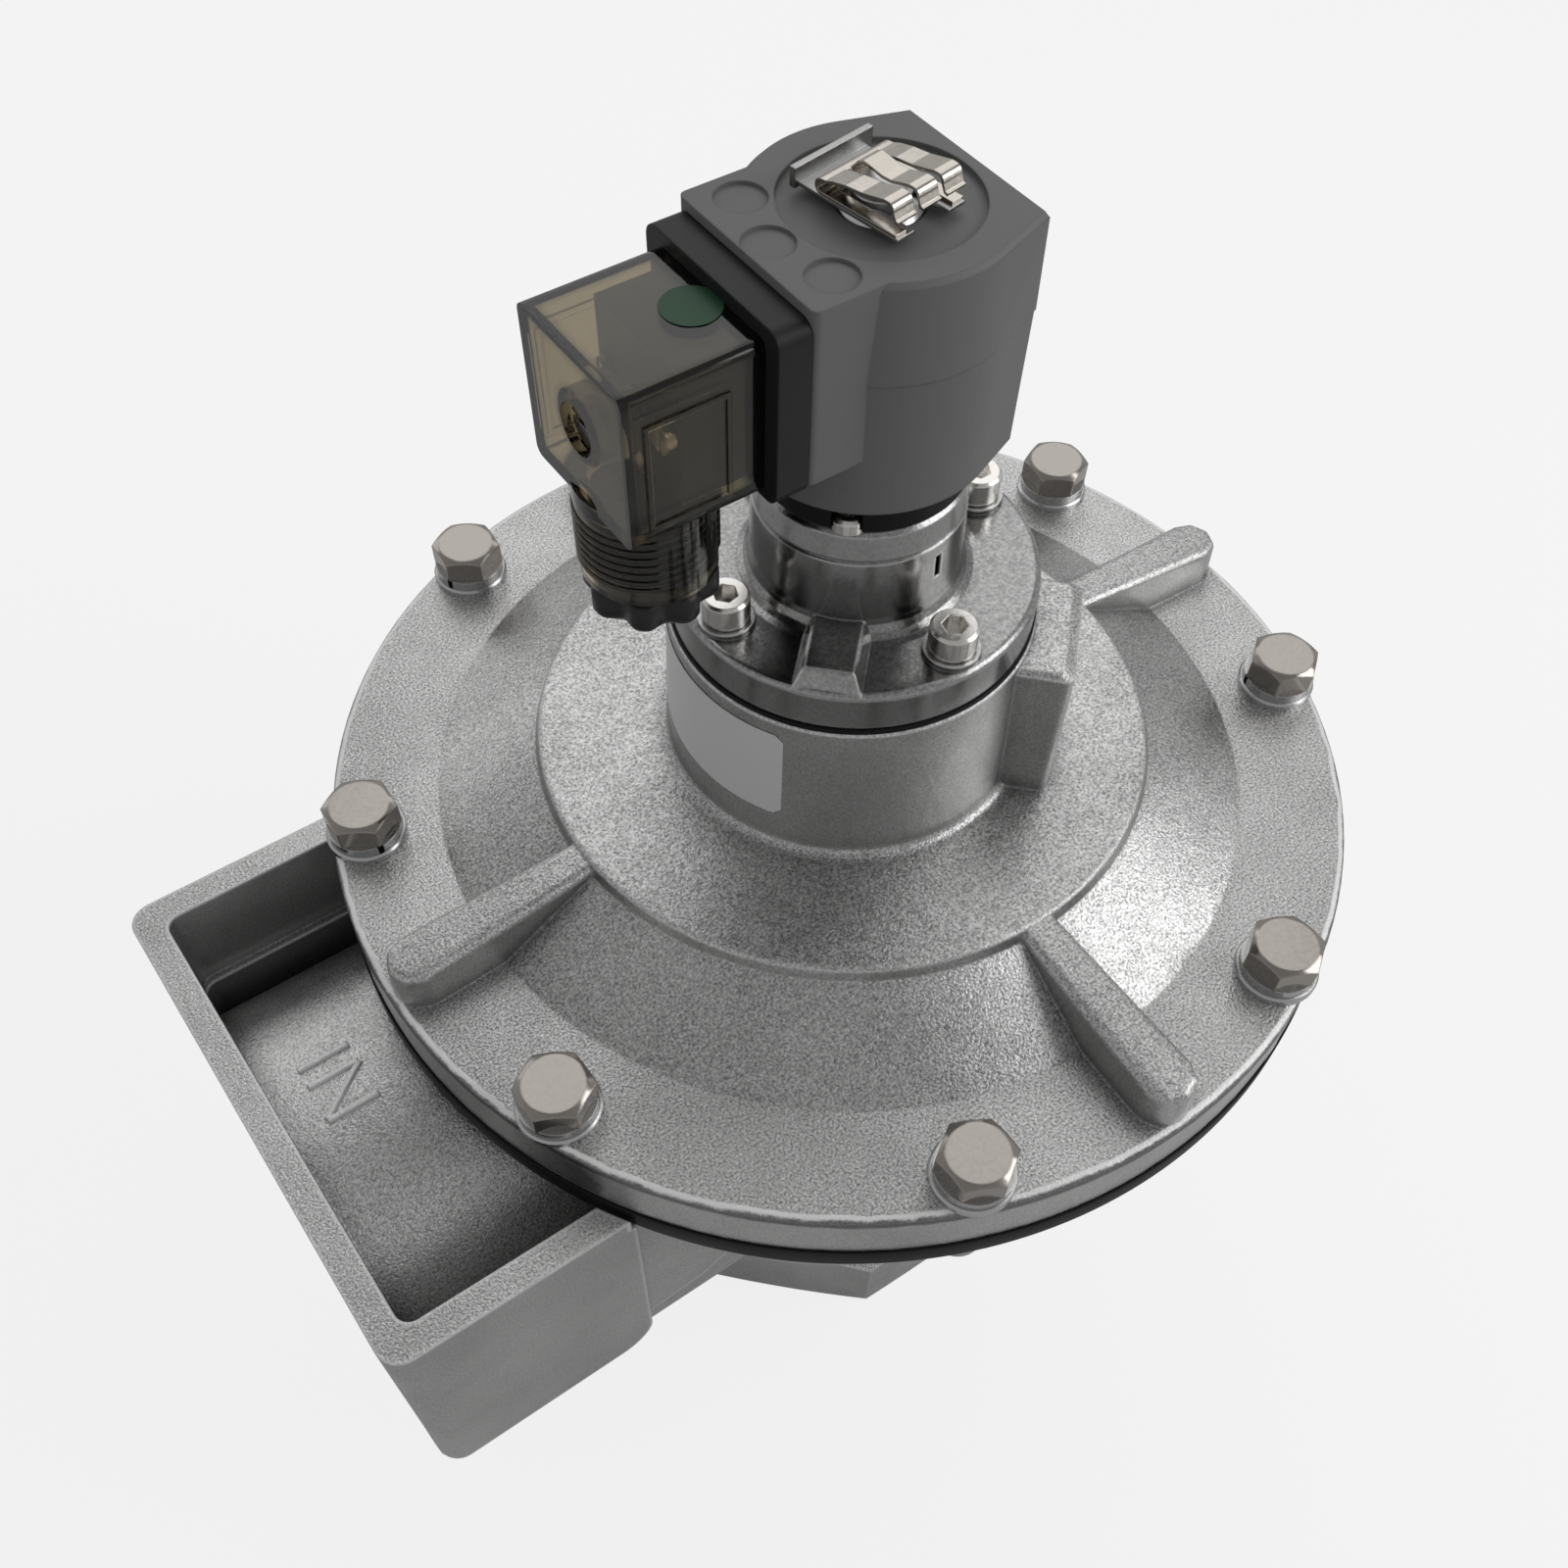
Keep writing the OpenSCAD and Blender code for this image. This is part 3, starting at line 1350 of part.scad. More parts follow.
module contact_boxes(grow) {
    contact_len = 10.6;
    for (p = blade_places)
        translate([-block_reach - 0.3 - contact_len - grow, p[0], plug_mid_z + p[1]])
            rotate([p[2] * 90, 0, 0])
                translate([0, -contact_t / 2 - grow, -contact_w / 2 - grow])
                    cube([contact_len + 2 * grow, contact_t + 2 * grow, contact_w + 2 * grow]);
}

module terminal_contacts() {
    color([0.80, 0.66, 0.32])
    difference() {
        contact_boxes(0);
        terminal_blades(0.1, 4);
    }
}

module terminal_screws() {
    color([0.80, 0.79, 0.76])
    for (p = blade_places)
        translate([insert_x, 0.9 * p[0], plug_mid_z + 0.9 * p[1]])
            rotate([0, 90, 0])
                difference() {
                    union() {
                        translate([0, 0, -1.9])
                            cylinder(h = 1.9, d = 4.6, $fn = 32);
                        translate([0, 0, -0.2])
                            cylinder(h = 3.8, d = 2.8, $fn = 32);
                    }
                    translate([-3, -0.4, -1.9 - cut])
                        cube([6, 0.8, 0.9 + cut]);
                }
}

module plug_screw() {
    head_x = plug_end_x + plug_recess_depth - 1;
    head_h = 2.3;
    color([0.76, 0.76, 0.75])
    translate([0, 0, plug_mid_z])
        difference() {
            union() {
                bar_x(plug_screw_head_d, head_x - head_h, head_x);
                bar_x(plug_screw_d, head_x - 0.3, -block_reach + 5);
            }
            translate([head_x - head_h - cut, -4, -0.5])
                cube([1 + cut, 8, 1]);
        }
}

module plug_screw_ring() {
    ring_x = plug_end_x + plug_recess_depth - 1;
    color([0.07, 0.07, 0.07])
    translate([0, 0, plug_mid_z])
        difference() {
            bar_x(plug_screw_head_d, ring_x, ring_x + 1);
            bar_x(plug_screw_d + 0.4, ring_x - cut, ring_x + 1 + cut);
        }
}

module gland_washer() {
    washer_z = cable_neck_z + gland_male_len - 0.2;
    color([0.70, 0.70, 0.70])
    translate([cable_x, 0, washer_z])
        difference() {
            cylinder(h = 1, d = gland_bore_d - 0.8, $fn = 64);
            translate([0, 0, -cut])
                cylinder(h = 1 + 2 * cut, d = cable_hole_d + 0.4, $fn = 48);
        }
}

module gland_grommet() {
    grommet_z = cable_neck_z + gland_male_len + 0.8;
    grommet_h = gland_bore_top_z - grommet_z;
    color([0.07, 0.07, 0.07])
    translate([cable_x, 0, grommet_z])
        difference() {
            cylinder(h = grommet_h, d = gland_bore_d - 0.6, $fn = 64);
            translate([0, 0, -cut])
                cylinder(h = grommet_h + 2 * cut, d = cable_hole_d - 1.2, $fn = 48);
        }
}

module gland_nut() {
    lobes = 8;
    scallop_d = 6;
    nut_top_z = cable_neck_z - 0.2;
    nut_z = nut_top_z - gland_nut_h;
    color([0.05, 0.05, 0.05])
    translate([cable_x, 0, nut_z])
        difference() {
            union() {
                rotate_extrude()
                    polygon([
                        [0, 0], [gland_nut_d / 2 - 1.6, 0], [gland_nut_d / 2, 1.2],
                        [gland_nut_d / 2, gland_nut_h - 0.5],
                        [gland_nut_d / 2 - 0.5, gland_nut_h], [0, gland_nut_h]
                    ]);
                cylinder(h = gland_nut_h + gland_male_len, d = gland_bore_d - 2 * run_gap, $fn = 64);
            }
            for (i = [0 : lobes - 1])
                rotate([0, 0, (i + 0.5) * 360 / lobes])
                    translate([gland_nut_d / 2 + 0.32 * scallop_d, 0, -cut])
                        cylinder(h = gland_nut_h + cut - 0.4, d = scallop_d, $fn = 32);
            translate([0, 0, -cut])
                cylinder(h = gland_nut_h + gland_male_len + 2 * cut, d = cable_hole_d, $fn = 48);
        }
}

valve_body();
main_cover();
main_diaphragm();
diaphragm_plate();
seat_disc();
seat_retainer();
diaphragm_nut();
main_spring();
cover_bolts();
cover_spring_washers();
cover_washers();
pilot_diaphragm();
pilot_disc();
pilot_spring();
pilot_cap();
pilot_cap_screws();
locating_screw();
guide_tube();
guide_tube_ring();
plunger();
plunger_seal();
plunger_spring();
coil_seal();
coil_housing();
coil_winding();
coil_yoke();
coil_terminals();
retaining_plate();
spring_clip();
plug_gasket();
plug_housing();
terminal_block();
terminal_contacts();
terminal_screws();
plug_screw();
plug_screw_ring();
gland_washer();
gland_grommet();
gland_nut();
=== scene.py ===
"""Looks of the right-angle pulse valve: camera, light, materials and fine detail. Units are metres."""

import math

import bpy
from mathutils import Matrix, Vector


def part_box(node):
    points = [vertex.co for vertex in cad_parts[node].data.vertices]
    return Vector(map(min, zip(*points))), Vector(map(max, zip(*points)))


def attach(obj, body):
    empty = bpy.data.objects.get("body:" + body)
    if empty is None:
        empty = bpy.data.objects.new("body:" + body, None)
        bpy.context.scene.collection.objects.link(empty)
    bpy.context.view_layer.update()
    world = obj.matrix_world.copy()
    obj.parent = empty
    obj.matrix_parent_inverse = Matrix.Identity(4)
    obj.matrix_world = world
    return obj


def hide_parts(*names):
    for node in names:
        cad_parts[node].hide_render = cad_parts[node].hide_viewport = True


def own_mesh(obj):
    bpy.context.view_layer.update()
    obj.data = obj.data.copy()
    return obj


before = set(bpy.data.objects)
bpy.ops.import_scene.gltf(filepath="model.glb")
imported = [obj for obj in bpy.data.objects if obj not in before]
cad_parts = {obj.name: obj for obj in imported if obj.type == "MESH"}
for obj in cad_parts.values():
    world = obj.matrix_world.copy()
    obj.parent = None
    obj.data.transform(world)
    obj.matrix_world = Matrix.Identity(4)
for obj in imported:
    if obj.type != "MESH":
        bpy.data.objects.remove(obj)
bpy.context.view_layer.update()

# The camera: where it stands, how far its view is turned from the valve's own axes, and its lens
CAMERA_PLACE = Vector((-0.1305, -0.1571, 0.4035))
CAMERA_TURN = math.radians(-36.88)
CAMERA_DOWN = math.radians(57.86)
CAMERA_ROLL = math.radians(1.91)
SENSOR_WIDTH = 36.0
LENS = 34.73
IMAGE_SIZE = 1600
# The lens axis meets the picture this many pixels below its middle
AXIS_BELOW_MIDDLE = 180

# Corners of the frame's own solids
BODY_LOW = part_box("valve_body")[0]
PLUG_LOW, PLUG_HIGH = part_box("plug_housing")
NUT_LOW, NUT_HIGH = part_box("gland_nut")

# The ports and their threads, each of which begins a little way in from the mouth
PORT_RADIUS = 0.042465
PORT_DEPTH = 0.024
PORT_PITCH = 0.002309
PORT_RIDGE = 0.0011
PORT_THREAD_START = 0.0004
PORT_STEPS = 72
# The inlet pipe's axis and outside, with the two letters on it
INLET_HEIGHT = 0.088
INLET_PIPE_RADIUS = 0.0535
LETTER_LOW, LETTER_HIGH = -0.1243, -0.1132
STROKE_WIDTH = 0.0017
STROKE_RISE = 0.0007
# The cover's rim and the height of its face, with the rubber ring's underside and top
RIM_RADIUS = 0.104
FACE_HEIGHT = 0.160
RING_LOW, RING_HIGH = 0.142, 0.147
BEAD_GAP = 0.00006
BEAD_REACH = 0.00045
BEAD_STEPS = 240
# The stickers: one wrapped round the pilot boss, one round dot on the plug
STICKER = 0.00012
LABEL_LOW, LABEL_HIGH = 0.1812, 0.2022
LABEL_MIDDLE = math.radians(180)
LABEL_HALF = math.radians(33.5)
LABEL_CORNER = 0.0016
LABEL_RADIUS_LOW, LABEL_RADIUS_HIGH = 0.03455, 0.03402
LABEL_GAP = 0.00004
DOT_X, DOT_Y = -0.0331, -0.0014
DOT_RADIUS = 0.0045
DOT_GAP = 0.00002
# The cable gland's nut, whose first lobe lies at the turn
CABLE_X = (NUT_LOW[0] + NUT_HIGH[0]) / 2
NUT_LOBES = 8
NUT_RADIUS = 0.0109
NUT_SCALLOP = 0.0018
NUT_TURN = math.radians(5)
NUT_BORE_RADIUS = 0.0046
NUT_STEM_RADIUS = 0.00902
# The thread on the plug's neck, left off over one flat stretch
NECK_RADIUS = 0.0109
NECK_RIDGE = 0.00035
NECK_PITCH = 0.0015
NECK_THREAD_START = 0.002
NECK_THREAD_LENGTH = 0.0105
NECK_STEPS = 48
FLAT_ANGLE = math.radians(-78)
FLAT_HALF = math.radians(40)
# Each spring and the joint of the piece that it pushes down
SPRINGS = {"main_spring": "main_lift", "pilot_spring": "pilot_lift", "plunger_spring": "plunger_lift"}

# How much of the floor's look is plain white, seen directly and in a mirror image; the rest keeps
# the valve's shadow
FLOOR_GLOW = 0.82
MIRROR_GLOW = 0.1
FLOOR_GREY = 0.62
FLOOR_SIZE = 6
# The room's grey at the horizon and overhead
HORIZON_GREY = 0.58
ZENITH_GREY = 0.30
# What the lamps point at
LAMP_TARGET = (0, 0, 0.15)


# Materials

CAST_DARK, CAST_LIGHT = (0.20, 0.20, 0.198), (0.74, 0.74, 0.735)
# The grain's share on upright walls, and the slopes that count as wall and as level
GRAIN_ON_WALLS = 0.35
WALL_SLOPE, LEVEL_SLOPE = 0.2, 0.7
# Painted shade in corners has this share of the metal's dark colour and reaches this far out of them
CORNER_SHADE_SHARE = 0.25
CORNER_SHADE_REACH = 0.005
# Worn edges with a painted highlight: how much of them shows, their colour and how metallic they stay
EDGE_WEAR_AND_HIGHLIGHT = 0.7
WORN_HIGHLIGHT_COLOUR = (0.85, 0.85, 0.845)
WORN_HIGHLIGHT_METALLIC = 0.2


def new_material(name):
    """A material with its Principled shader, its node tree's nodes and its links."""
    material = bpy.data.materials.new(name)
    material.use_nodes = True
    nodes = material.node_tree.nodes
    return material, nodes, material.node_tree.links, nodes["Principled BSDF"]


def noise(nodes, links, period, detail=2.0, roughness=0.5):
    """Noise in the piece's own metres, whose coarsest blobs are about one period wide."""
    place = nodes.new("ShaderNodeTexCoord")
    texture = nodes.new("ShaderNodeTexNoise")
    texture.inputs["Scale"].default_value = 1.0 / period
    texture.inputs["Detail"].default_value = detail
    texture.inputs["Roughness"].default_value = roughness
    links.new(place.outputs["Object"], texture.inputs["Vector"])
    return texture.outputs["Fac"]


def bump(nodes, links, height, depth, strength, before=None):
    """Turns a height into a surface direction, on top of an earlier one if given."""
    node = nodes.new("ShaderNodeBump")
    node.inputs["Strength"].default_value = strength
    node.inputs["Distance"].default_value = depth
    links.new(height, node.inputs["Height"])
    if before:
        links.new(before, node.inputs["Normal"])
    return node.outputs["Normal"]


def soft_edges(nodes, radius):
    """Rounds the look of every edge by a small radius."""
    node = nodes.new("ShaderNodeBevel")
    node.samples = 4
    node.inputs["Radius"].default_value = radius
    return node.outputs["Normal"]


def tint(nodes, links, value, dark, light):
    """Mixes two colours by a value."""
    node = nodes.new("ShaderNodeMix")
    node.data_type = "RGBA"
    node.inputs["A"].default_value = (*dark, 1)
    node.inputs["B"].default_value = (*light, 1)
    links.new(value, node.inputs["Factor"])
    return node.outputs["Result"]


def blend_to(nodes, links, share, colour, other):
    """A colour that turns into another, fixed one as a share grows."""
    node = nodes.new("ShaderNodeMix")
    node.data_type = "RGBA"
    node.inputs["B"].default_value = (*other, 1)
    links.new(colour, node.inputs["A"])
    links.new(share, node.inputs["Factor"])
    return node.outputs["Result"]


def maths(nodes, links, operation, a, b):
    """A math node's result for a socket and a second socket or number."""
    node = nodes.new("ShaderNodeMath")
    node.operation = operation
    links.new(a, node.inputs[0])
    if isinstance(b, float):
        node.inputs[1].default_value = b
    else:
        links.new(b, node.inputs[1])
    return node.outputs["Value"]


def mapped(nodes, links, value, start, end, low, high):
    """A value that runs from low to high as another runs from start to end."""
    node = nodes.new("ShaderNodeMapRange")
    node.inputs["From Min"].default_value = start
    node.inputs["From Max"].default_value = end
    node.inputs["To Min"].default_value = low
    node.inputs["To Max"].default_value = high
    links.new(value, node.inputs["Value"])
    return node.outputs["Result"]


def spread(nodes, links, value, low, high):
    """Stretches a noise value so that it runs from low to high."""
    return mapped(nodes, links, value, 0.3, 0.7, low, high)


def closeness(nodes, distance, inside):
    """How far a spot is free of the piece's other faces within a distance, from 0 to 1."""
    node = nodes.new("ShaderNodeAmbientOcclusion")
    node.samples = 6
    node.inside = inside
    node.only_local = True
    node.inputs["Distance"].default_value = distance
    return node.outputs["AO"]


def by_level(nodes, links, on_wall, on_level):
    """A value that runs from one on walls to another on faces that look up."""
    place = nodes.new("ShaderNodeTexCoord")
    parts = nodes.new("ShaderNodeSeparateXYZ")
    links.new(place.outputs["Normal"], parts.inputs["Vector"])
    return mapped(nodes, links, parts.outputs["Z"], WALL_SLOPE, LEVEL_SLOPE, on_wall, on_level)


def rim_highlight_and_shade_lines(nodes, links, ragged, level):
    """Two shares round the cover's edge: a bright line of wear and painted highlight on its face and a
    painted shade line below it.
    """
    place = nodes.new("ShaderNodeTexCoord")
    flat = nodes.new("ShaderNodeVectorMath")
    flat.operation = "MULTIPLY"
    flat.inputs[1].default_value = (1, 1, 0)
    links.new(place.outputs["Object"], flat.inputs[0])
    length = nodes.new("ShaderNodeVectorMath")
    length.operation = "LENGTH"
    links.new(flat.outputs["Vector"], length.inputs[0])
    parts = nodes.new("ShaderNodeSeparateXYZ")
    links.new(place.outputs["Object"], parts.inputs["Vector"])
    wander = 0.00025
    bright_line_inset, bright_line_full, bright_line_end = 0.0011, 0.0003, 0.0006
    shift = spread(nodes, links, ragged, -wander, wander)
    radius = maths(nodes, links, "ADD", length.outputs["Value"], shift)
    height = maths(nodes, links, "ADD", parts.outputs["Z"], shift)
    # The bright line on the face: wear with a painted highlight
    off_line = maths(nodes, links, "SUBTRACT", radius, RIM_RADIUS - bright_line_inset)
    off_line = maths(nodes, links, "ABSOLUTE", off_line, 0.0)
    bright = mapped(nodes, links, off_line, bright_line_full, bright_line_end, 1.0, 0.0)
    bright = maths(nodes, links, "MULTIPLY", bright, level)
    # The dark line below the edge: painted shade
    on_edge = mapped(nodes, links, radius, RIM_RADIUS - 0.0006, RIM_RADIUS - 0.0003, 0.0, 0.75)
    above = mapped(nodes, links, height, FACE_HEIGHT - 0.0024, FACE_HEIGHT - 0.0017, 0.0, 1.0)
    return bright, maths(nodes, links, "MULTIPLY", on_edge, above)


def cast_metal(
    name, dark, light, roughness, depth, edge, grain=0.0005, corner_shade=0.6, wall=1.0, tilt_shade=0.0, lined=False,
):
    """Shot-blasted cast aluminium: specks, shallow waves, bright edges of wear and painted highlight, and
    painted shade in corners.

    Its walls are metallic to the share wall; painted shade darkens walls and painted light brightens level
    faces by a share; a lined one has a bright line of wear and painted highlight and a painted shade line
    round the rim.
    """
    material, nodes, links, shader = new_material(name)
    painted_shade_colour = tuple(CORNER_SHADE_SHARE * part for part in dark)
    fine = noise(nodes, links, grain, 2.0, 0.6)
    coarse = noise(nodes, links, 12 * grain, 3.0, 0.55)
    patches = noise(nodes, links, 60 * grain, 2.0, 0.5)
    level = by_level(nodes, links, GRAIN_ON_WALLS, 1.0)
    speck = maths(nodes, links, "MULTIPLY", spread(nodes, links, fine, -0.5, 0.5), level)
    cloud = spread(nodes, links, patches, 0.4, 0.6)
    # Painted light and shade by slope: walls darker, level faces lighter
    if tilt_shade:
        cloud = maths(nodes, links, "ADD", cloud, by_level(nodes, links, -tilt_shade, tilt_shade))
    skin = tint(nodes, links, maths(nodes, links, "ADD", speck, cloud), dark, light)
    # Painted shade: where other faces are near, in corners, the skin turns to the dark shade colour
    corner = mapped(nodes, links, closeness(nodes, CORNER_SHADE_REACH, False), 0.35, 0.95, corner_shade, 0.0)
    skin = blend_to(nodes, links, corner, skin, painted_shade_colour)
    # Bright edges: partly wear, partly a painted highlight
    wear_and_highlight = mapped(nodes, links, closeness(nodes, 1.2 * edge, True), 0.95, 0.6, 0.0, EDGE_WEAR_AND_HIGHLIGHT)
    if lined:
        # The rim's bright line of wear and painted highlight, and its painted shade line
        bright, rim_shade_line = rim_highlight_and_shade_lines(nodes, links, coarse, level)
        skin = blend_to(nodes, links, rim_shade_line, skin, painted_shade_colour)
        wear_and_highlight = maths(nodes, links, "MAXIMUM", wear_and_highlight, bright)
    links.new(blend_to(nodes, links, wear_and_highlight, skin, WORN_HIGHLIGHT_COLOUR), shader.inputs["Base Color"])
    metal = mapped(nodes, links, wear_and_highlight, 0.0, 1.0, 1.0, WORN_HIGHLIGHT_METALLIC)
    if wall < 1:
        metal = maths(nodes, links, "MULTIPLY", metal, by_level(nodes, links, wall, 1.0))
    links.new(metal, shader.inputs["Metallic"])
    links.new(spread(nodes, links, coarse, roughness - 0.05, roughness + 0.07), shader.inputs["Roughness"])
    rounded = soft_edges(nodes, edge)
    waved = bump(nodes, links, coarse, 3 * depth, 0.5, rounded)
    grained = bump(nodes, links, fine, depth, 1.0, waved)
    links.new(level, grained.node.inputs["Strength"])
    links.new(grained, shader.inputs["Normal"])
    return material


def plain_metal(name, colour, roughness, edge=0.0003, depth=0.00002):
    """Machined or pressed steel with fine marks."""
    material, nodes, links, shader = new_material(name)
    shader.inputs["Metallic"].default_value = 1.0
    shader.inputs["Base Color"].default_value = (*colour, 1)
    marks = noise(nodes, links, 0.0009, 3.0, 0.6)
    links.new(spread(nodes, links, marks, roughness - 0.04, roughness + 0.06), shader.inputs["Roughness"])
    rounded = soft_edges(nodes, edge)
    links.new(bump(nodes, links, marks, depth, 0.5, rounded), shader.inputs["Normal"])
    return material


def moulded(name, colour, roughness, grain=0.0005, depth=0.00002, edge=0.0004, specular=0.5):
    """Moulded plastic or rubber with a fine grain."""
    material, nodes, links, shader = new_material(name)
    shader.inputs["Base Color"].default_value = (*colour, 1)
    shader.inputs["Specular IOR Level"].default_value = specular
    fine = noise(nodes, links, grain, 2.0, 0.5)
    broad = noise(nodes, links, 40 * grain, 2.0, 0.5)
    links.new(spread(nodes, links, broad, roughness - 0.04, roughness + 0.04), shader.inputs["Roughness"])
    rounded = soft_edges(nodes, edge)
    links.new(bump(nodes, links, fine, depth, 0.6, rounded), shader.inputs["Normal"])
    return material


def smoky_plastic(name, colour, edge_shade_colour, depth_colour, density):
    """Transparent smoky plastic that grows darker where it is thick, with painted shade along its edges.
    """
    material, nodes, links, shader = new_material(name)
    # Painted shade along the edges of the plastic
    rim = mapped(nodes, links, closeness(nodes, 0.0016, True), 0.95, 0.45, 0.0, 1.0)
    links.new(tint(nodes, links, rim, colour, edge_shade_colour), shader.inputs["Base Color"])
    shader.inputs["Transmission Weight"].default_value = 1.0
    shader.inputs["Roughness"].default_value = 0.06
    shader.inputs["IOR"].default_value = 1.46
    inside = nodes.new("ShaderNodeVolumeAbsorption")
    inside.inputs["Color"].default_value = (*depth_colour, 1)
    inside.inputs["Density"].default_value = density
    links.new(inside.outputs["Volume"], nodes["Material Output"].inputs["Volume"])
    return material


def paint(material, *names):
    """Gives CAD nodes their material."""
    for name in names:
        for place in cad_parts[name].material_slots:
            place.material = material


# The body's metal has painted shade on its walls and painted light on its level faces
body_metal = cast_metal(
    "body_metal", CAST_DARK, CAST_LIGHT, 0.34, 0.00013, 0.0008, corner_shade=0.45, wall=0.6, tilt_shade=0.14,
)
cover_metal = cast_metal("cover_metal", CAST_DARK, CAST_LIGHT, 0.34, 0.00013, 0.0008, lined=True)
cap_metal = cast_metal("cap_metal", CAST_DARK, (0.40, 0.40, 0.396), 0.18, 0.00002, 0.0005, grain=0.0006)
bolt_metal = plain_metal("bolt_metal", (0.35, 0.325, 0.30), 0.15, 0.0006, depth=0.000002)
screw_metal = plain_metal("screw_metal", (0.74, 0.72, 0.69), 0.22, 0.0003)
washer_metal = plain_metal("washer_metal", (0.50, 0.50, 0.50), 0.25, 0.0003)
plate_metal = plain_metal("plate_metal", (0.36, 0.36, 0.355), 0.30, 0.0003)
clip_metal = plain_metal("clip_metal", (0.50, 0.465, 0.42), 0.16, 0.0002)
# The plug screw's steel is painted darker, as painted shade of the recess it sits in
recess_shade_metal = plain_metal("recess_shade_metal", (0.22, 0.22, 0.22), 0.28, 0.0003)
tube_metal = plain_metal("tube_metal", (0.60, 0.60, 0.61), 0.30, 0.0003)
spring_metal = plain_metal("spring_metal", (0.56, 0.57, 0.60), 0.25, 0.0003)
yoke_metal = plain_metal("yoke_metal", (0.34, 0.35, 0.37), 0.45, 0.0003)
copper = plain_metal("copper", (0.66, 0.30, 0.14), 0.35, 0.0003)
brass = plain_metal("brass", (0.78, 0.60, 0.26), 0.28, 0.0002)
tinned = plain_metal("tinned", (0.78, 0.75, 0.64), 0.25, 0.0002)
coil_plastic = moulded("coil_plastic", (0.135, 0.140, 0.135), 0.56, 0.0006, 0.00003, 0.0005, 0.4)
block_plastic = moulded("block_plastic", (0.045, 0.045, 0.045), 0.45)
nut_plastic = moulded("nut_plastic", (0.012, 0.012, 0.013), 0.34, 0.0005, 0.00001, 0.0004, 0.35)
black_rubber = moulded("black_rubber", (0.008, 0.008, 0.009), 0.50, 0.0006, 0.00002, 0.0004, 0.15)
gasket_rubber = moulded("gasket_rubber", (0.012, 0.012, 0.013), 0.42, 0.0006, 0.00002, 0.0005, 0.25)
seat_rubber = moulded("seat_rubber", (0.03, 0.027, 0.024), 0.55)
label_paper = moulded("label_paper", (0.62, 0.63, 0.62), 0.40, 0.0008, 0.00001, 0.0001)
dot_green = moulded("dot_green", (0.018, 0.062, 0.032), 0.45, 0.0008, 0.00001, 0.0001, 0.2)
clear_plastic = smoky_plastic(
    "clear_plastic", colour=(0.64, 0.59, 0.47), edge_shade_colour=(0.10, 0.09, 0.065),
    depth_colour=(0.42, 0.37, 0.27), density=290.0,
)

paint(body_metal, "valve_body")
paint(cover_metal, "main_cover")
paint(cap_metal, "pilot_cap")
paint(bolt_metal, "cover_bolts")
paint(screw_metal, "pilot_cap_screws", "locating_screw", "terminal_screws")
paint(recess_shade_metal, "plug_screw")
paint(washer_metal, "cover_washers", "cover_spring_washers", "gland_washer")
paint(plate_metal, "diaphragm_plate", "seat_retainer", "diaphragm_nut", "pilot_disc", "retaining_plate")
paint(clip_metal, "spring_clip")
paint(tube_metal, "guide_tube", "plunger")
paint(spring_metal, "main_spring", "pilot_spring", "plunger_spring")
paint(yoke_metal, "coil_yoke")
paint(copper, "coil_winding")
paint(brass, "terminal_contacts")
paint(tinned, "coil_terminals")
paint(coil_plastic, "coil_housing")
paint(block_plastic, "terminal_block")
paint(nut_plastic, "gland_nut")
paint(black_rubber, "main_diaphragm", "pilot_diaphragm", "coil_seal")
paint(black_rubber, "guide_tube_ring", "plug_screw_ring", "gland_grommet")
paint(gasket_rubber, "plug_gasket")
paint(seat_rubber, "seat_disc", "plunger_seal")
paint(clear_plastic, "plug_housing")


# Pieces made here


def add_piece(name, points, faces, material, body, smooth=True):
    """A new mesh piece with its material, which rides on a body."""
    mesh = bpy.data.meshes.new(name)
    mesh.from_pydata(points, [], faces)
    mesh.update()
    for face in mesh.polygons:
        face.use_smooth = smooth
    piece = bpy.data.objects.new(name, mesh)
    piece.data.materials.append(material)
    bpy.context.scene.collection.objects.link(piece)
    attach(piece, body)
    return piece


def bar_faces(sections, inward=False):
    """Faces of a closed bar with four corners to a section, the other way round for a bar in a bore."""
    last = 4 * sections
    faces = [(0, 1, 2, 3), (last + 3, last + 2, last + 1, last)]
    if inward:
        faces = [face[::-1] for face in faces]
    for section in range(sections):
        for k in range(4):
            a, b = 4 * section + k, 4 * section + (k + 1) % 4
            faces.append((a, b, b + 4, a + 4) if inward else (a, a + 4, b + 4, b))
    return faces


def ring_faces(corners, steps):
    """Faces of a closed ring whose profile has that many corners, each taken round in that many steps."""
    faces = []
    for k in range(corners):
        for i in range(steps):
            j = (i + 1) % steps
            a, b = k * steps, (k + 1) % corners * steps
            faces.append((a + i, a + j, b + j, b + i))
    return faces


def port_thread(name, place, direction):
    """The helical ridge in a port's bore, drawn from its mouth inward: its crest fades in and out."""
    rings = int((PORT_DEPTH / PORT_PITCH - 1) * PORT_STEPS)
    turn = Vector((0, 0, 1)).rotation_difference(Vector(direction)).to_matrix().to_4x4()
    move = Matrix.Translation(place) @ turn
    points = []
    for ring in range(rings + 1):
        angle = 2 * math.pi * ring / PORT_STEPS
        z = PORT_PITCH * ring / PORT_STEPS
        fade = min(1.0, ring / PORT_STEPS, (rings - ring) / PORT_STEPS)
        crest = PORT_RADIUS - PORT_RIDGE * fade
        for along, r in ((0.05, PORT_RADIUS), (0.40, crest), (0.60, crest), (0.95, PORT_RADIUS)):
            local = Vector((r * math.cos(angle), r * math.sin(angle), z + along * PORT_PITCH))
            points.append(tuple(move @ local))
    add_piece(name, points, bar_faces(rings, inward=True), body_metal, "valve", smooth=False)


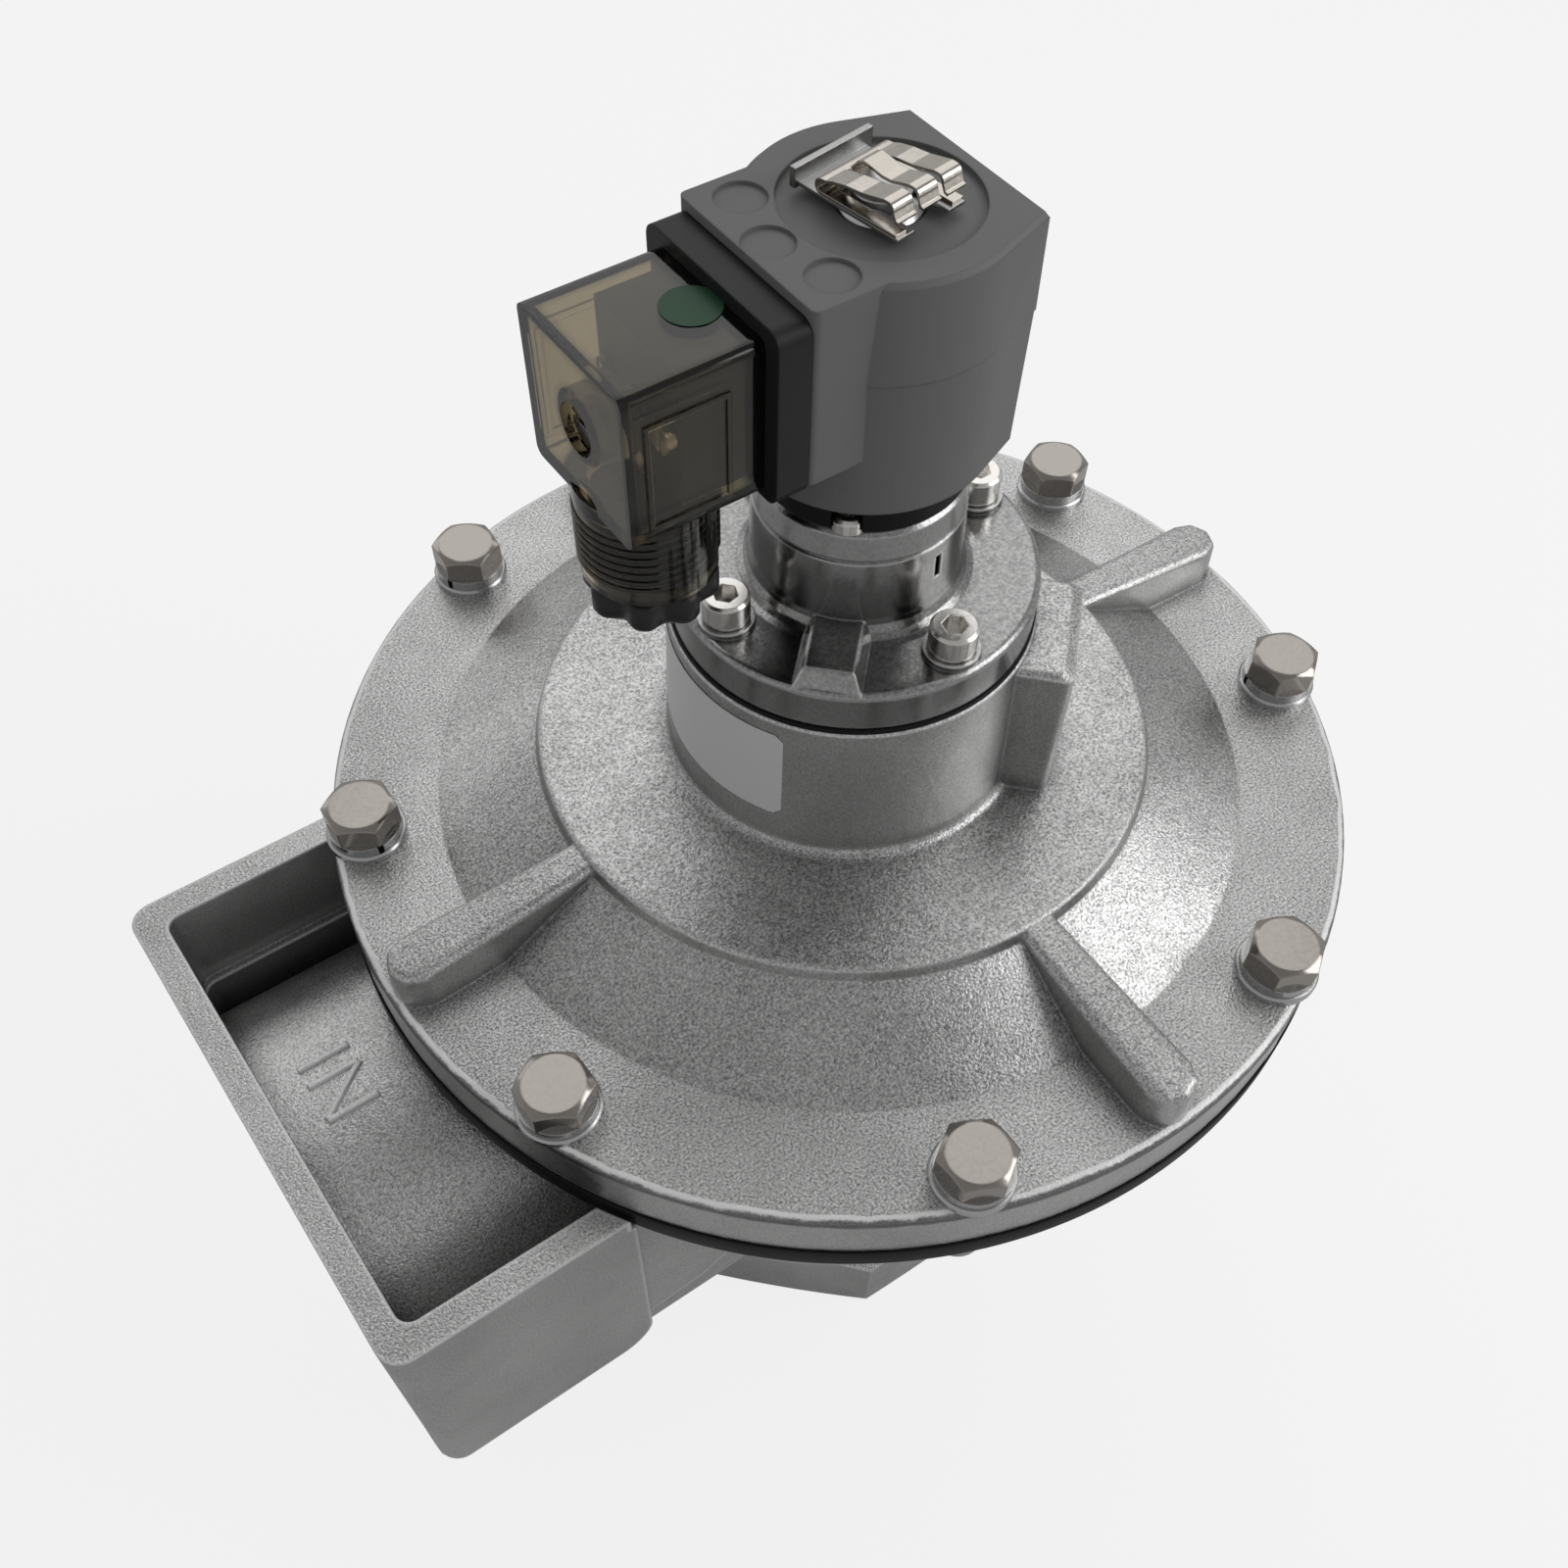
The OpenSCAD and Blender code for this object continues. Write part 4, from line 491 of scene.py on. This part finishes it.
port_thread("outlet_thread", (0, 0, PORT_THREAD_START), (0, 0, 1))
port_thread("inlet_thread", (BODY_LOW[0] + PORT_THREAD_START, 0, INLET_HEIGHT), (1, 0, 0))


def pipe_height(y):
    """Height of the inlet pipe's outer surface at a distance from its middle plane."""
    return INLET_HEIGHT + math.sqrt(INLET_PIPE_RADIUS ** 2 - y ** 2)


def raised_stroke(start, end, parts=6):
    """Points and faces of one raised bar with sloping sides that follows the pipe from start to end."""
    along = Vector((end[0] - start[0], end[1] - start[1])).normalized()
    side = Vector((-along.y, along.x))
    points = []
    for i in range(parts + 1):
        share = i / parts
        inset = 0.35 * STROKE_RISE if i in (0, parts) else 0
        x = start[0] + (end[0] - start[0]) * share
        y = start[1] + (end[1] - start[1]) * share
        for across, up in ((-0.5, -0.2), (-0.28, 1), (0.28, 1), (0.5, -0.2)):
            px = x + side.x * across * STROKE_WIDTH
            py = y + side.y * across * STROKE_WIDTH
            shift = inset * (1 if i == 0 else -1) if up > 0 else 0
            points.append((px + along.x * shift, py + along.y * shift, pipe_height(py) + up * STROKE_RISE))
    return points, bar_faces(parts)


def flow_mark():
    """The two raised letters on the inlet pipe that say which way the air goes."""
    strokes = [
        ((LETTER_LOW, 0.0077), (LETTER_HIGH, 0.0077)),
        ((LETTER_LOW, 0.0030), (LETTER_HIGH, 0.0030)),
        ((LETTER_HIGH, 0.0028), (LETTER_LOW, -0.0053)),
        ((LETTER_LOW, -0.0055), (LETTER_HIGH, -0.0055)),
    ]
    points, faces = [], []
    for start, end in strokes:
        more, sides = raised_stroke(start, end)
        faces += [tuple(len(points) + i for i in face) for face in sides]
        points += more
    add_piece("flow_mark", points, faces, body_metal, "valve", smooth=False)


def boss_label():
    """The bare white sticker wrapped round the pilot boss."""
    rows, columns = 14, 60
    points = []
    for layer in (0, STICKER):
        for i in range(rows + 1):
            z = LABEL_LOW + (LABEL_HIGH - LABEL_LOW) * i / rows
            to_edge = min(z - LABEL_LOW, LABEL_HIGH - z)
            cut_back = 0
            if to_edge < LABEL_CORNER:
                cut_back = LABEL_CORNER - math.sqrt(LABEL_CORNER ** 2 - (LABEL_CORNER - to_edge) ** 2)
            radius = LABEL_RADIUS_LOW + (LABEL_RADIUS_HIGH - LABEL_RADIUS_LOW) * i / rows
            radius = radius + LABEL_GAP + layer
            reach = LABEL_HALF - cut_back / radius
            for j in range(columns + 1):
                angle = LABEL_MIDDLE - reach + 2 * reach * j / columns
                points.append((radius * math.cos(angle), radius * math.sin(angle), z))
    size = (rows + 1) * (columns + 1)
    faces = []
    for i in range(rows):
        for j in range(columns):
            a = i * (columns + 1) + j
            b, c, d = a + 1, a + columns + 2, a + columns + 1
            faces.append((size + a, size + b, size + c, size + d))
            faces.append((d, c, b, a))
    rim = list(range(columns + 1))
    rim += [i * (columns + 1) + columns for i in range(1, rows + 1)]
    rim += [rows * (columns + 1) + j for j in range(columns - 1, -1, -1)]
    rim += [i * (columns + 1) for i in range(rows - 1, 0, -1)]
    for k, a in enumerate(rim):
        b = rim[(k + 1) % len(rim)]
        faces.append((a, b, size + b, size + a))
    add_piece("boss_label", points, faces, label_paper, "valve", smooth=False)


def plug_dot(sides=48):
    """The bare round sticker that lies on top of the plug."""
    low = PLUG_HIGH[2] + DOT_GAP
    points = []
    for z in (0, STICKER):
        for i in range(sides):
            angle = 2 * math.pi * i / sides
            x = DOT_X + DOT_RADIUS * math.cos(angle)
            y = DOT_Y + DOT_RADIUS * math.sin(angle)
            points.append((x, y, low + z))
    faces = [tuple(range(sides - 1, -1, -1)), tuple(range(sides, 2 * sides))]
    for i in range(sides):
        j = (i + 1) % sides
        faces.append((i, j, sides + j, sides + i))
    add_piece("plug_dot", points, faces, dot_green, "plug", smooth=False)


def neck_thread():
    """The helical ridge round the plug's upright neck, left off over one flat stretch."""
    rings = int(NECK_THREAD_LENGTH / NECK_PITCH * NECK_STEPS)
    low = PLUG_LOW[2] + NECK_THREAD_START
    root = NECK_RADIUS - 0.00005
    points = []
    for ring in range(rings + 1):
        angle = 2 * math.pi * ring / NECK_STEPS
        z = NECK_PITCH * ring / NECK_STEPS
        on_flat = abs(math.remainder(angle - FLAT_ANGLE, 2 * math.pi)) < FLAT_HALF
        fade = min(1.0, 4 * ring / NECK_STEPS, 4 * (rings - ring) / NECK_STEPS)
        crest = NECK_RADIUS + (0 if on_flat else NECK_RIDGE * fade)
        for along, r in ((0.1, root), (0.4, crest), (0.6, crest), (0.9, root)):
            x = CABLE_X + r * math.cos(angle)
            points.append((x, r * math.sin(angle), low + z + along * NECK_PITCH))
    add_piece("neck_thread", points, bar_faces(rings), clear_plastic, "plug")


def lobed_nut():
    """The cable gland's nut with its rounded lobes, hollow for the cable, and its stem in the neck."""
    head_top = PLUG_LOW[2] - 0.0002
    low, high = NUT_LOW[2], NUT_HIGH[2]
    # Each corner of the profile: its radius, its height and how much of the lobes' wave it has
    profile = [
        (NUT_BORE_RADIUS, low, 0),
        (NUT_RADIUS - 0.0016, low, 0.6),
        (NUT_RADIUS - 0.0004, low + 0.0008, 1),
        (NUT_RADIUS, low + 0.0016, 1),
        (NUT_RADIUS, head_top - 0.0010, 1),
        (NUT_RADIUS - 0.0006, head_top - 0.0002, 1),
        (NUT_RADIUS - 0.0012, head_top, 1),
        (NUT_STEM_RADIUS, head_top, 0),
        (NUT_STEM_RADIUS, high, 0),
        (NUT_BORE_RADIUS, high, 0),
    ]
    steps = 24 * NUT_LOBES
    points = []
    for radius, z, share in profile:
        for i in range(steps):
            angle = 2 * math.pi * i / steps
            wave = (0.5 - 0.5 * math.cos(NUT_LOBES * (angle - NUT_TURN))) ** 1.4
            reach = radius - share * NUT_SCALLOP * wave
            points.append((CABLE_X + reach * math.cos(angle), reach * math.sin(angle), z))
    faces = ring_faces(len(profile), steps)
    nut = add_piece("lobed_nut", points, faces, nut_plastic, "gland")
    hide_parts("gland_nut")


def rubber_bead():
    """The bead of the rubber ring, which stands a little proud between the cover and the body."""
    inner, outer = RIM_RADIUS + BEAD_GAP, RIM_RADIUS + BEAD_REACH
    profile = [
        (inner, RING_LOW + 0.0001),
        (outer - 0.0001, RING_LOW + 0.0001),
        (outer, RING_LOW + 0.0004),
        (outer, RING_HIGH + 0.0001),
        (outer - 0.0001, RING_HIGH + 0.0004),
        (inner, RING_HIGH + 0.0004),
    ]
    points = []
    for radius, z in profile:
        for i in range(BEAD_STEPS):
            angle = 2 * math.pi * i / BEAD_STEPS
            points.append((radius * math.cos(angle), radius * math.sin(angle), z))
    add_piece("rubber_bead", points, ring_faces(len(profile), BEAD_STEPS), black_rubber, "valve")


flow_mark()
boss_label()
lobed_nut()
rubber_bead()
plug_dot()
neck_thread()


# Each spring gets its own copy of its mesh
for spring, joint in SPRINGS.items():
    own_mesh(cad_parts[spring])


# Camera, light and floor


def add_camera():
    """The camera stands where the photograph's did and looks the same way."""
    right = Vector((math.cos(CAMERA_TURN), math.sin(CAMERA_TURN), 0))
    level = Vector((-math.sin(CAMERA_TURN), math.cos(CAMERA_TURN), 0))
    forward = level * math.cos(CAMERA_DOWN) - Vector((0, 0, math.sin(CAMERA_DOWN)))
    up = level * math.sin(CAMERA_DOWN) + Vector((0, 0, math.cos(CAMERA_DOWN)))
    image_right = math.cos(CAMERA_ROLL) * right + math.sin(CAMERA_ROLL) * up
    image_up = math.cos(CAMERA_ROLL) * up - math.sin(CAMERA_ROLL) * right
    turn = Matrix((image_right, image_up, -forward)).transposed()
    data = bpy.data.cameras.new("camera")
    data.sensor_width = SENSOR_WIDTH
    data.lens = LENS
    data.shift_y = AXIS_BELOW_MIDDLE / IMAGE_SIZE
    data.clip_start = 0.01
    camera = bpy.data.objects.new("camera", data)
    camera.matrix_world = Matrix.Translation(CAMERA_PLACE) @ turn.to_4x4()
    bpy.context.scene.collection.objects.link(camera)
    bpy.context.scene.camera = camera


def add_world():
    """A plain room whose light is palest near the horizon and darker overhead."""
    world = bpy.data.worlds.new("studio")
    world.use_nodes = True
    bpy.context.scene.world = world
    nodes = world.node_tree.nodes
    links = world.node_tree.links
    place = nodes.new("ShaderNodeTexCoord")
    parts = nodes.new("ShaderNodeSeparateXYZ")
    links.new(place.outputs["Generated"], parts.inputs["Vector"])
    ramp = nodes.new("ShaderNodeValToRGB")
    links.new(parts.outputs["Z"], ramp.inputs["Fac"])
    ramp.color_ramp.elements[0].color = (HORIZON_GREY, HORIZON_GREY, HORIZON_GREY, 1)
    ramp.color_ramp.elements[1].color = (ZENITH_GREY, ZENITH_GREY, ZENITH_GREY, 1)
    links.new(ramp.outputs["Color"], nodes["Background"].inputs["Color"])


def add_lamp(name, place, size, watts):
    """A square soft light that points at the valve."""
    data = bpy.data.lights.new(name, "AREA")
    data.size = size
    data.energy = watts
    lamp = bpy.data.objects.new(name, data)
    lamp.location = place
    direction = Vector(LAMP_TARGET) - Vector(place)
    lamp.rotation_euler = direction.to_track_quat("-Z", "Y").to_euler()
    bpy.context.scene.collection.objects.link(lamp)


def add_floor():
    """A plain pale floor that keeps the valve's soft shadow."""
    bpy.ops.mesh.primitive_plane_add(size=FLOOR_SIZE, location=(0, 0, BODY_LOW[2]))
    floor = bpy.context.object
    floor.name = "floor"
    material, nodes, links, shader = new_material("floor_white")
    shader.inputs["Base Color"].default_value = (FLOOR_GREY, FLOOR_GREY, FLOOR_GREY, 1)
    shader.inputs["Roughness"].default_value = 0.9
    shader.inputs["Specular IOR Level"].default_value = 0.1
    white = nodes.new("ShaderNodeEmission")
    rays = nodes.new("ShaderNodeLightPath").outputs
    direct = maths(nodes, links, "MAXIMUM", rays["Is Camera Ray"], rays["Is Transmission Ray"])
    direct = maths(nodes, links, "MULTIPLY", direct, FLOOR_GLOW)
    mirrored = maths(nodes, links, "MULTIPLY", rays["Is Glossy Ray"], MIRROR_GLOW)
    choice = nodes.new("ShaderNodeMixShader")
    links.new(maths(nodes, links, "MAXIMUM", direct, mirrored), choice.inputs["Fac"])
    links.new(shader.outputs["BSDF"], choice.inputs[1])
    links.new(white.outputs["Emission"], choice.inputs[2])
    links.new(choice.outputs["Shader"], nodes["Material Output"].inputs["Surface"])
    floor.data.materials.append(material)


add_camera()
add_world()
add_lamp("key", place=(0.50, 0.62, 1.10), size=1.1, watts=3.4)
add_lamp("right", place=(0.64, -0.52, 0.72), size=0.6, watts=3.4)
add_lamp("left", place=(-0.20, 1.00, 0.45), size=0.5, watts=0.5)
add_floor()
bpy.context.scene.view_settings.view_transform = "Standard"
